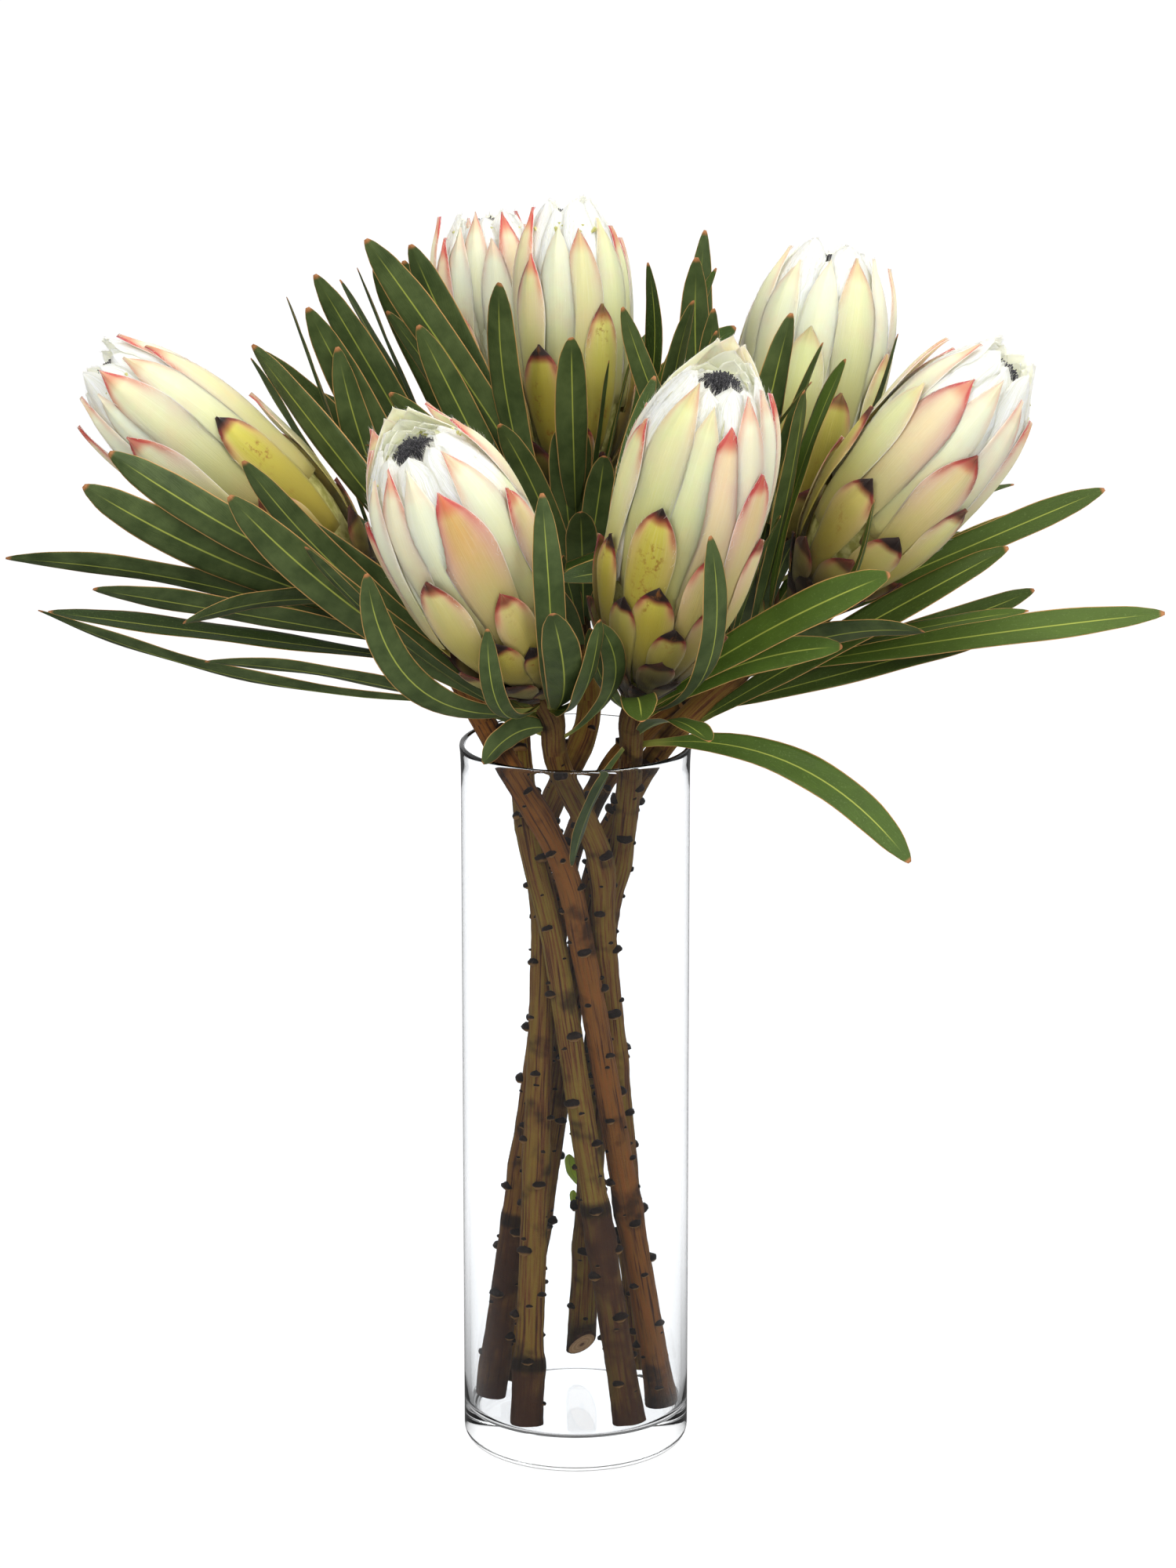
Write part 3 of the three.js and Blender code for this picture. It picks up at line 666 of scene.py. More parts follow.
# A pale face over the slanted end of the stem, domed in the middle. It takes its outline from the tube.
def makeCutEnd(name, stem, material):
    tube = stem.data
    run = np.zeros(len(tube.vertices), dtype=np.float32)
    tube.attributes["runLength"].data.foreach_get("value", run)
    corners = np.zeros(3 * len(run), dtype=np.float32)
    tube.vertices.foreach_get("co", corners)
    rim = corners.reshape(-1, 3)[run < cutEnd["rimFrom"]].astype(float)
    centre = rim.mean(axis=0)
    spokes = rim - centre
    facing = np.linalg.svd(spokes)[2][2]
    facing = -facing if facing[2] > 0 else facing
    spokes -= np.outer(spokes @ facing, facing)
    rings, spots = [], []
    for share, lift in cutEnd["rings"]:
        rings.append([centre + spoke * share + facing * lift * mm for spoke in spokes])
        for k in range(len(spokes)):
            angle = 2 * math.pi * k / len(spokes)
            spots.append((math.cos(angle) * share, math.sin(angle) * share, lift))
    spots += [(0, 0, -1), (0, 0, 1)]
    inside, outside = centre - facing * mm, centre + facing * mm * cutEnd["dome"]
    piece = skinPiece(name + "Cut", rings, inside, outside, material)
    form = bmesh.new()
    form.from_mesh(piece.data)
    bmesh.ops.recalc_face_normals(form, faces=form.faces)
    form.to_mesh(piece.data)
    form.free()
    layer = piece.data.attributes.new("cutPlace", "FLOAT_VECTOR", "POINT")
    layer.data.foreach_set("vector", np.array(spots, dtype=np.float32).ravel())
    return piece


def makeCutFinish():
    material, tree, shader = newMaterial("cutWood")
    spot = attribute(tree, "cutPlace")
    reach = (spot.part(0) * spot.part(0) + spot.part(1) * spot.part(1)) ** 0.5
    grain = tree.noise(objectPlace(tree), 700.0, 3.0, 0.6)
    rings = (reach * 26.0 + grain * 3.0).plain("SINE") * 0.5 + 0.5
    wood = tree.mix(rings * 0.6, srgb(214, 176, 134), srgb(172, 126, 86))
    wood = tree.mix(1 - reach.ramp(0.1, 0.24), wood, srgb(96, 62, 42))
    wood = tree.mix(grain.ramp(0.55, 0.75) * 0.5, wood, srgb(120, 84, 58))
    wood = tree.mix(reach.ramp(0.78, 0.9), wood, srgb(62, 38, 26))
    raised = bump(tree, rings * 0.3 + grain, 0.5, 0.0006)
    feed(tree, shader, Base_Color=wood, Roughness=0.7 + 0.2 * grain, Normal=raised, Specular_IOR_Level=0.2)
    return material


def budPoints(name, route):
    below = route.length - bud["fromFoot"]
    leaves = [(below + bud["apart"] * k, *leaf, 0) for k, leaf in enumerate(bud["leaves"])]
    lines = [leafLine(route, leaf, (0, 0, 0)) for leaf in leaves]
    return leafColumns(name + "BudLeaves", leaves, lines, bud["light"], bud["rootDepth"])


def makeBark():
    material, tree, shader = newMaterial("proteaBark")
    ring = attribute(tree, "ringPlace")
    run = attribute(tree, "runLength", 2)
    hue = attribute(tree, "hue", 2)
    youth = attribute(tree, "youth", 2)
    scar = attribute(tree, "scar", 2)
    seat = attribute(tree, "scarPlace")
    old, knot = attribute(tree, "old", 2), attribute(tree, "ring", 2)
    place = objectPlace(tree)
    drawnOut = tree.vector(ring.part(0) * 3.4, ring.part(1) * 3.4, run * 22.0 + hue * 9.0)
    streaks = tree.noise(drawnOut, 1.6, 5.0, 0.6)
    patches = tree.noise(place, 55.0, 3.0, 0.55)
    specks = tree.noise(place, 900.0, 2.0, 0.7)
    dark = srgb(24, 16, 13)
    brown = srgb(114, 70, 38)
    olive = srgb(128, 106, 44)
    rust = srgb(134, 80, 36)
    base = tree.mix(streaks.ramp(0.4, 0.6), brown, olive)
    base = tree.mix(hue.ramp(0.2, 1.0) * streaks.ramp(0.42, 0.56), base, rust)
    # Painted shade mixed with the young bark's colour: darker brown at the top of the stem, under the head and
    # its leaves.
    base = tree.mix(youth * 0.7, base, srgb(58, 40, 24))
    base = tree.mix(patches.ramp(0.5, 0.66) * 0.75, base, dark)
    base = tree.mix((1 - streaks.ramp(0.34, 0.46)) * 0.7, base, dark)
    base = tree.mix((1 - run.ramp(0.002, 0.02)) * patches.ramp(0.3, 0.5) * 0.8, base, dark)
    base = tree.mix(specks.ramp(0.62, 0.8) * 0.25, base, srgb(150, 116, 84))
    base = tree.mix(old * (0.55 + 0.4 * patches.ramp(0.35, 0.6)), base, srgb(68, 42, 28))
    base = tree.mix(knot.ramp(0.2, 0.8) * 0.85, base, srgb(22, 13, 11))
    scarColour = tree.mix(seat.part(1).ramp(-0.6, -0.1), srgb(140, 104, 62), srgb(30, 19, 15))
    base = tree.mix(scar, base, scarColour)
    height = streaks * 0.8 + patches * 0.7 + specks * 0.3
    raised = bump(tree, height, 0.8, 0.0014)
    feed(tree, shader, Base_Color=base, Roughness=0.6 + 0.25 * patches, Normal=raised)
    feed(tree, shader, Specular_IOR_Level=0.18)
    return material


# ---- leaves: thin blades with a raised midrib and a tan edge

# below, turn, climb, length, width, roll, bow, sway, as in the solids
shownLeaves = {
    "farLeft": [
        (24, 201, 26, 158, 17, 75, -6, 3), (12, 200, 31, 141, 16, 75, -4, -16),
        (45, 187, 18, 184, 16, 50, 9, 2), (60, 184, 13, 177, 15, 35, -10, 1),
        (36, 194, 20, 148, 15, 50, 0, 3), (34, 193, 16, 130, 13, 20, -3, 3),
        (44, 177, 7, 164, 14, -15, 0, 0), (10, 142, 45, 135, 12, 60, 4, -3),
        (18, 148, 44, 132, 12, 60, 2, -6),
    ],
    "frontLeft": [
        (20, 204, 38, 172, 16, 75, -6, 6), (16, 199, 42, 164, 14, 60, -9, 4),
        (8, 224, 36, 118, 13, 60, -6, 6), (12, 170, 47, 190, 17, 75, 0, -3),
        (10, 262, 62, 124, 12, 10, -22, -3), (10, 258, 48, 104, 15, 10, -8, -5),
        (4, 251, 34, 78, 9, 20, -10, 2), (26, 195, 16, 146, 14, 30, 6, 2),
        (14, 183, 41, 136, 15, 70, 0, 1), (22, 215, 38, 146, 11, 15, 0, 5),
        (28, 294, 52, 94, 10, 20, -3, -14), (20, 222, -12, 38, 13, 80, 6, 0),
    ],
    "middle": [
        (32, 234, 69, 145, 15, 0, -2, 10), (25, 190, 64, 154, 16, 60, -2, 2),
        (16, 205, 62, 164, 15, 60, 4, 2), (58, 210, 62, 162, 14, 70, 2, 6),
        (50, 196, 60, 157, 12, 60, 5, 3), (70, 239, 60, 137, 12, 40, 8, -1),
        (70, 218, 56, 165, 12, 60, 10, 6), (20, 2, 74, 134, 11, 20, -1, 0),
        (14, 28, 74, 120, 10, 20, -1, 4), (30, 292, 71, 106, 8, 50, 4, -2),
        (40, 300, 69, 122, 8, 60, 5, -2),
    ],
    "back": [
        (80, 203, 50, 190, 15, 60, 0, 6), (70, 200, 51, 172, 15, 60, 4, 5),
        (60, 198, 61, 180, 14, 60, 2, 5), (95, 203, 66, 174, 14, 80, -10, 7),
        (45, 205, 66, 163, 14, 70, 6, 4), (50, 200, 65, 168, 13, -10, -2, 6),
        (40, 189, 61, 156, 12, -10, -1, 3), (30, 219, 67, 152, 13, 70, 5, 5),
    ],
    "frontRight": [
        (10, 339, 38, 122, 16, 55, 4, -3), (6, 290, 47, 120, 12, 20, -5, -8),
        (8, 256, 46, 62, 8, 10, -4, 2), (24, 190, -66, 58, 9, 40, 4, -1),
        (30, 341, -18, 122, 15, 40, 18, -3), (20, 73, 77, 142, 10, 30, 10, -8),
    ],
    "backRight": [
        (40, 228, 79, 175, 14, 50, 0, 10), (26, 277, 66, 158, 15, 20, -10, 10),
        (22, 317, 62, 146, 13, 20, -8, 0), (48, 291, 63, 156, 14, 50, 4, 16),
        (60, 256, 78, 170, 13, 60, 6, 16), (20, 205, 80, 166, 11, 80, -3, 4),
        (30, 169, 82, 172, 11, 80, 4, 0), (28, 242, 74, 158, 12, 40, -4, 8),
        (34, 294, 67, 150, 12, 40, -6, 12), (45, 258, 70, 160, 10, 40, 0, 10),
    ],
    "farRight": [
        (76, 344, 35, 162, 14, 60, 2, -2), (40, 354, 10, 176, 14, 40, 2, 0),
        (62, 6, 14, 137, 13, 45, 0, 1), (14, 5, 26, 144, 13, 50, 1, 1),
        (20, 342, 75, 122, 14, 30, -3, -2), (36, 298, 68, 133, 13, 30, 4, -6),
        (10, 297, 42, 98, 15, 60, -16, 0), (46, 290, 53, 104, 12, 50, 6, -1),
        (20, 8, 24, 127, 12, 60, 2, 2), (34, 5, 14, 122, 12, 50, -5, 1),
        (44, 344, 17, 130, 11, 15, 3, -3),
    ],
}
# count, facing, arc, climb, length
spiralLeaves = {
    "farLeft": (6, 100, 130, 30, 125), "frontLeft": (2, 300, 60, 40, 95), "middle": (3, 320, 120, 66, 110),
    "back": (9, 90, 170, 42, 130), "frontRight": (3, 280, 80, 25, 95), "backRight": (8, 70, 170, 40, 130),
    "farRight": (5, 50, 120, 34, 125),
}
spiralHabit = {
    "width": 14, "bow": 8, "rollRange": 90, "climbRange": 24, "droop": 0.15, "lengthRange": 0.3,
    "firstBelow": 8, "spacing": 0.75, "goldenShare": 0.618, "firstShare": 0.31,
}
# Small ones deep between the heads, which only close the gaps.
hiddenLeaves = {
    "middle": [
        (34, 255, 72, 80, 12, 20, 4, 2), (46, 287, 66, 85, 12, -20, 5, -2), (58, 268, 60, 78, 13, 5, 6, 0),
        (22, 272, 68, 70, 12, -10, 5, 0), (66, 240, 48, 70, 12, 10, 5, 0), (70, 300, 50, 70, 12, 0, 5, 0),
    ],
    "backRight": [
        (8, 262, 40, 58, 13, 0, 5, 0), (22, 284, 45, 66, 13, 20, 5, 0), (32, 245, 50, 70, 13, -10, 5, 0),
        (44, 268, 44, 66, 13, 10, 5, 0),
    ],
}
# How yellow and light the leaves are.
leafLight = {
    "farLeft": 0.12, "frontLeft": 0.25, "middle": 0.1, "back": 0.05,
    "frontRight": 0.25, "backRight": 0.2, "farRight": 0.5,
}
leafSizes = {
    "rootRadius": 4.9, "rootDepth": 2.4, "across": 9, "lengthwise": 26, "crowding": 1.5,
    "blade": 0.38, "rib": 0.5, "fold": 0.16, "wave": 0.05, "waves": 19.0, "twist": 0.35,
    "outline": [
        (0, 0.2), (0.1, 0.27), (0.22, 0.55), (0.48, 0.93), (0.74, 1.0), (0.88, 0.8), (0.96, 0.46), (1, 0.1),
    ],
    # the solid's corners that are looked for: how far along, the share of the half width, and how near in mm
    "stations": (0.48, 0.74), "halves": (0.94, 1.0), "found": 0.15,
}
# How a leaf is kept off the heads, in mm. It is looked at from one share of its length to another.
leafShift = {
    "room": 0.7, "most": 3.0, "rounds": 6, "shortFrom": 0.05, "shortTo": 6,
    "lookFrom": 0.15, "lookTo": 0.85, "looks": 15, "halfWidth": 0.42,
}


def clearingSteps():
    yield (0, 0, 0)
    ways = [
        (1, 0, 0), (-1, 0, 0), (0, 1, 0), (0, -1, 0), (1, 1, 0), (-1, 1, 0), (1, -1, 0), (-1, -1, 0),
        (0, 0, -1), (0, 0, 1), (0.5, 0, -1), (-0.5, 0, -1),
    ]
    for reach in (3, 6, 9, 13, 17, 22):
        for turn, climb, bow in ways:
            yield (turn * reach, climb * reach, bow * reach)


def spiralLeaf(name, index):
    count, facing, arc, climb, length = spiralLeaves[name]
    habit = spiralHabit
    spread = (index * habit["goldenShare"] + habit["firstShare"]) % 1 - 0.5
    seed = index + 10 * flowerNames.index(name)
    below = habit["firstBelow"] + habit["spacing"] * flowers[name]["leafyLength"] * index / count
    rise = climb + habit["climbRange"] * (scatter(seed + 0.3) - 0.5) - habit["droop"] * below
    reach = length * (1 + habit["lengthRange"] * (scatter(seed + 0.7) - 0.5))
    roll = habit["rollRange"] * (scatter(seed) - 0.5)
    return (below, facing + 2 * arc * spread, rise, reach, habit["width"], roll, habit["bow"], 0)


# The line and frame of a leaf after a clearing step.
def leafLine(route, leaf, step):
    below, turn, climb, reach, _, _, bow, sway = leaf
    root = route.at(1 - below / route.length)
    bearing, rise = math.radians(turn + step[0]), math.radians(climb + step[1])
    flat = np.array([math.cos(bearing), math.sin(bearing), 0])
    along = flat * math.cos(rise) + np.array([0, 0, math.sin(rise)])
    up = -flat * math.sin(rise) + np.array([0, 0, math.cos(rise)])
    side = np.cross(along, up)
    bend = 4 * (up * (bow + step[2]) + side * sway)
    return root, along * reach, bend, side


def leafEdge(line, leaf, share, half):
    root, reach, bend, side = line
    place = root + reach * share + bend * share * (1 - share)
    ahead = root + reach * (share + 0.02) + bend * (share + 0.02) * (0.98 - share)
    tangent = unit(ahead - place)
    flat = unit(side - tangent * side.dot(tangent))
    roll = math.radians(leaf[5])
    across = flat * math.cos(roll) + np.cross(tangent, flat) * math.sin(roll)
    return [place + across * half, place - across * half]


# A leaf is where the solid has it: its tip and one of its edges are corners of the node.
def findLeaf(tree, route, leaf):
    for step in clearingSteps():
        line = leafLine(route, leaf, step)
        tip = line[0] + line[1]
        if tree.find(tip * mm)[2] > leafSizes["found"] * mm:
            continue
        for station, share in zip(leafSizes["stations"], leafSizes["halves"]):
            for corner in leafEdge(line, leaf, station, leaf[4] / 2 * share):
                if tree.find(corner * mm)[2] < leafSizes["found"] * mm:
                    return line
    return None


# Bows a leaf outwards by a few millimetres where its blade would cut into a head's bracts.
def clearOfHeads(leaf, line):
    habit = leafShift
    root, reach, bend, side = line
    half = leaf[4] * habit["halfWidth"]
    shift = np.zeros(3)
    for _ in range(habit["rounds"]):
        worst, push = habit["shortFrom"], None
        for flower in flowers.values():
            neck, *_, along, length = headFrame(flower)
            for share in np.linspace(habit["lookFrom"], habit["lookTo"], habit["looks"]):
                edges = leafEdge((root, reach, bend + shift, side), leaf, share, half)
                for point in edges + [(edges[0] + edges[1]) / 2]:
                    height = (point - neck).dot(along) / length
                    spoke = point - neck - along * height * length
                    outside = np.linalg.norm(spoke)
                    short = flower["widest"] * headShare(height) + habit["room"] - outside
                    if 0.0 < height < 1.0 and worst < short < habit["shortTo"]:
                        worst, push = short, spoke / outside * short / (share * (1 - share))
        if push is None:
            break
        shift += push
    most = 4 * habit["most"]  # a bend moves the middle of a leaf by a quarter of itself
    return root, reach, bend + shift * min(1, most / max(most, np.linalg.norm(shift))), side


def leafColumns(name, leaves, lines, light, depth):
    labels = ("rootAt", "reach", "bend", "side", "roll", "halfWidth", "start", "seed", "light")
    columns = {label: [] for label in labels}
    for index, (leaf, (root, reach, bend, side)) in enumerate(zip(leaves, lines)):
        length, width, roll = leaf[3:6]
        values = (
            root * mm, reach * mm, bend * mm, side, math.radians(roll), width / 2 * mm,
            (leafSizes["rootRadius"] - depth) / length, scatter(7 * index + length), light,
        )
        for label, value in zip(labels, values):
            columns[label].append(value)
    return pointMesh(name, len(leaves), columns)


def leafPoints(name):
    route = routes[name]
    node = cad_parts["leaves_" + name]
    tree = KDTree(len(node.data.vertices))
    for k, vertex in enumerate(node.data.vertices):
        tree.insert(vertex.co, k)
    tree.balance()
    leaves = shownLeaves[name] + [spiralLeaf(name, k) for k in range(spiralLeaves[name][0])]
    leaves += hiddenLeaves.get(name, [])
    kept, lines = [], []
    for index, leaf in enumerate(leaves):
        hidden = index >= len(leaves) - len(hiddenLeaves.get(name, []))
        line = leafLine(route, leaf, (0, 0, 0)) if hidden else findLeaf(tree, route, leaf)
        if line is None:
            print("no solid for leaf", index, "of", name)
            continue
        kept.append(leaf)
        lines.append(clearOfHeads(leaf, line))
    return leafColumns(name + "Leaves", kept, lines, leafLight[name], leafSizes["rootDepth"])


def leafTree():
    size = leafSizes
    inputs = {
        "Across": size["across"], "Lengthwise": size["lengthwise"], "Blade": size["blade"] * mm,
        "Rib": size["rib"] * mm, "Fold": size["fold"], "Wave": size["wave"],
    }
    tree, entry = newGeometryTree("leafBlades", inputs)
    blades, u, share, w = bladeGrids(tree, entry, size["crowding"], readAttribute(tree, "start"))
    seed = readAttribute(tree, "seed")
    reach = readAttribute(tree, "reach", "FLOAT_VECTOR")
    bend = readAttribute(tree, "bend", "FLOAT_VECTOR")
    side = readAttribute(tree, "side", "FLOAT_VECTOR")
    roll = readAttribute(tree, "roll")
    tangent = tree.unit(reach + bend * (1 - 2 * share))
    flat = tree.unit(side - tangent * tree.dot(side, tangent))
    turned = roll + size["twist"] * (seed - 0.5) * share
    across = flat * turned.plain("COSINE") + tree.cross(tangent, flat) * turned.plain("SINE")
    face = tree.cross(across, tangent)
    half = readAttribute(tree, "halfWidth") * tree.curve(share, size["outline"])
    edge = u.plain("ABSOLUTE")
    wave = (share * size["waves"] + seed * 40.0 + u * 1.3).plain("SINE") * entry["Wave"] * edge * edge
    rise = (edge * entry["Fold"] + wave) * half
    rib = (1 - edge.ramp(0.0, 0.3)) * entry["Rib"] * (1 - share * 0.75)
    thick = entry["Blade"] * (1.15 - edge) * (1.25 - share)
    lift = rise + w * thick - (1 - w) * 0.5 * rib
    centre = readAttribute(tree, "rootAt", "FLOAT_VECTOR") + reach * share + bend * (share * (1 - share))
    where = centre + across * (u * half) + face * lift
    blades = tree.add("GeometryNodeSetPosition", {}, {0: blades, 2: where})
    endGeometryTree(tree, blades, entry["Material"])
    return tree


def makeLeafFinish():
    material, tree, shader = newMaterial("leatheryLeaf")
    blade = attribute(tree, "blade")
    seed, light = attribute(tree, "seed", 2), attribute(tree, "light", 2)
    u, share, w = blade.part(0), blade.part(1), blade.part(2)
    edge = u.plain("ABSOLUTE")
    place = objectPlace(tree)
    clouds = tree.noise(place, 90.0, 3.0, 0.6)
    specks = tree.noise(place, 1100.0, 2.0, 0.8)
    veins = tree.noise(tree.vector(u * 3.0 + share * 2.0, share * 26.0 - edge * 5.0, seed * 50.0), 2.4, 2.0)
    deep = tree.mix(seed, srgb(8, 18, 5), srgb(30, 48, 11))
    deep = tree.mix(light * 0.7, deep, srgb(62, 82, 26))
    fresh = tree.mix(seed, srgb(34, 56, 14), srgb(82, 110, 30))
    green = tree.mix(clouds.ramp(0.1, 1.0) * 0.35 + 0.25, deep, fresh)
    green = tree.mix(light * 0.55, green, srgb(96, 112, 50))
    green = tree.mix(veins.ramp(0.55, 0.75) * 0.3, green, srgb(84, 110, 36))
    green = tree.mix(specks.ramp(0.58, 0.76) * 0.4, green, srgb(112, 134, 74))
    under = tree.mix(clouds.ramp(0.2, 0.8), srgb(54, 68, 34), srgb(80, 94, 52))
    body = tree.mix(w.ramp(-0.1, 0.1), under, green)
    # The bud's own fresh yellow-green, made brighter still as painted light, since it stands in shade inside the
    # glass.
    body = tree.mix((light - 1.0).ramp(0.0, 0.5), body, srgb(186, 220, 70))
    ribMask = (1 - edge.ramp(0.015, 0.06)) * (1 - share.ramp(0.86, 0.97))
    body = tree.mix(ribMask * 0.85, body, srgb(158, 166, 72))
    body = tree.mix((1 - share.ramp(0.03, 0.16)) * 0.8, body, srgb(150, 150, 70))
    body = tree.mix(edge.ramp(0.93, 0.985), body, srgb(190, 146, 86))
    body = tree.mix(share.ramp(0.985, 0.995), body, srgb(160, 108, 66))
    height = clouds * 0.3 + specks * 0.25 + veins * 0.5
    raised = bump(tree, height, 0.45, 0.0006)
    feed(tree, shader, Base_Color=body, Roughness=0.4 + 0.2 * clouds, Normal=raised, Specular_IOR_Level=0.22)
    return material


# ---- heads: long pointed bracts on the solid's outline, the inner ones white and woolly

headOutline = [
    (0.0, 0.2), (0.06, 0.37), (0.15, 0.62), (0.28, 0.86), (0.45, 1.0),
    (0.62, 1.0), (0.78, 0.95), (0.9, 0.84), (1.02, 0.62),
]
bractSizes = {
    "across": 11, "lengthwise": 23, "slope": 8.0, "tipProud": 0.3, "layering": 0.9, "thickness": 0.55,
    "overlap": 0.35, "footLow": 0.015, "shortest": 0.17, "longest": 0.62, "footArch": 10.0, "topArch": 29.0,
    "archOutline": [(0, 0.02), (0.08, 0.17), (0.2, 0.42), (0.4, 0.7), (0.7, 0.92), (1, 1.0)],
    "footWidth": 0.5, "closing": 0.16, "closingFrom": 0.85, "crowding": 1.6,
    "outlineTo": 1.1, "outlineEnd": 0.48, "hoodFrom": 1.08, "hoodArch": 16.0, "hoodClosing": 0.36,
}
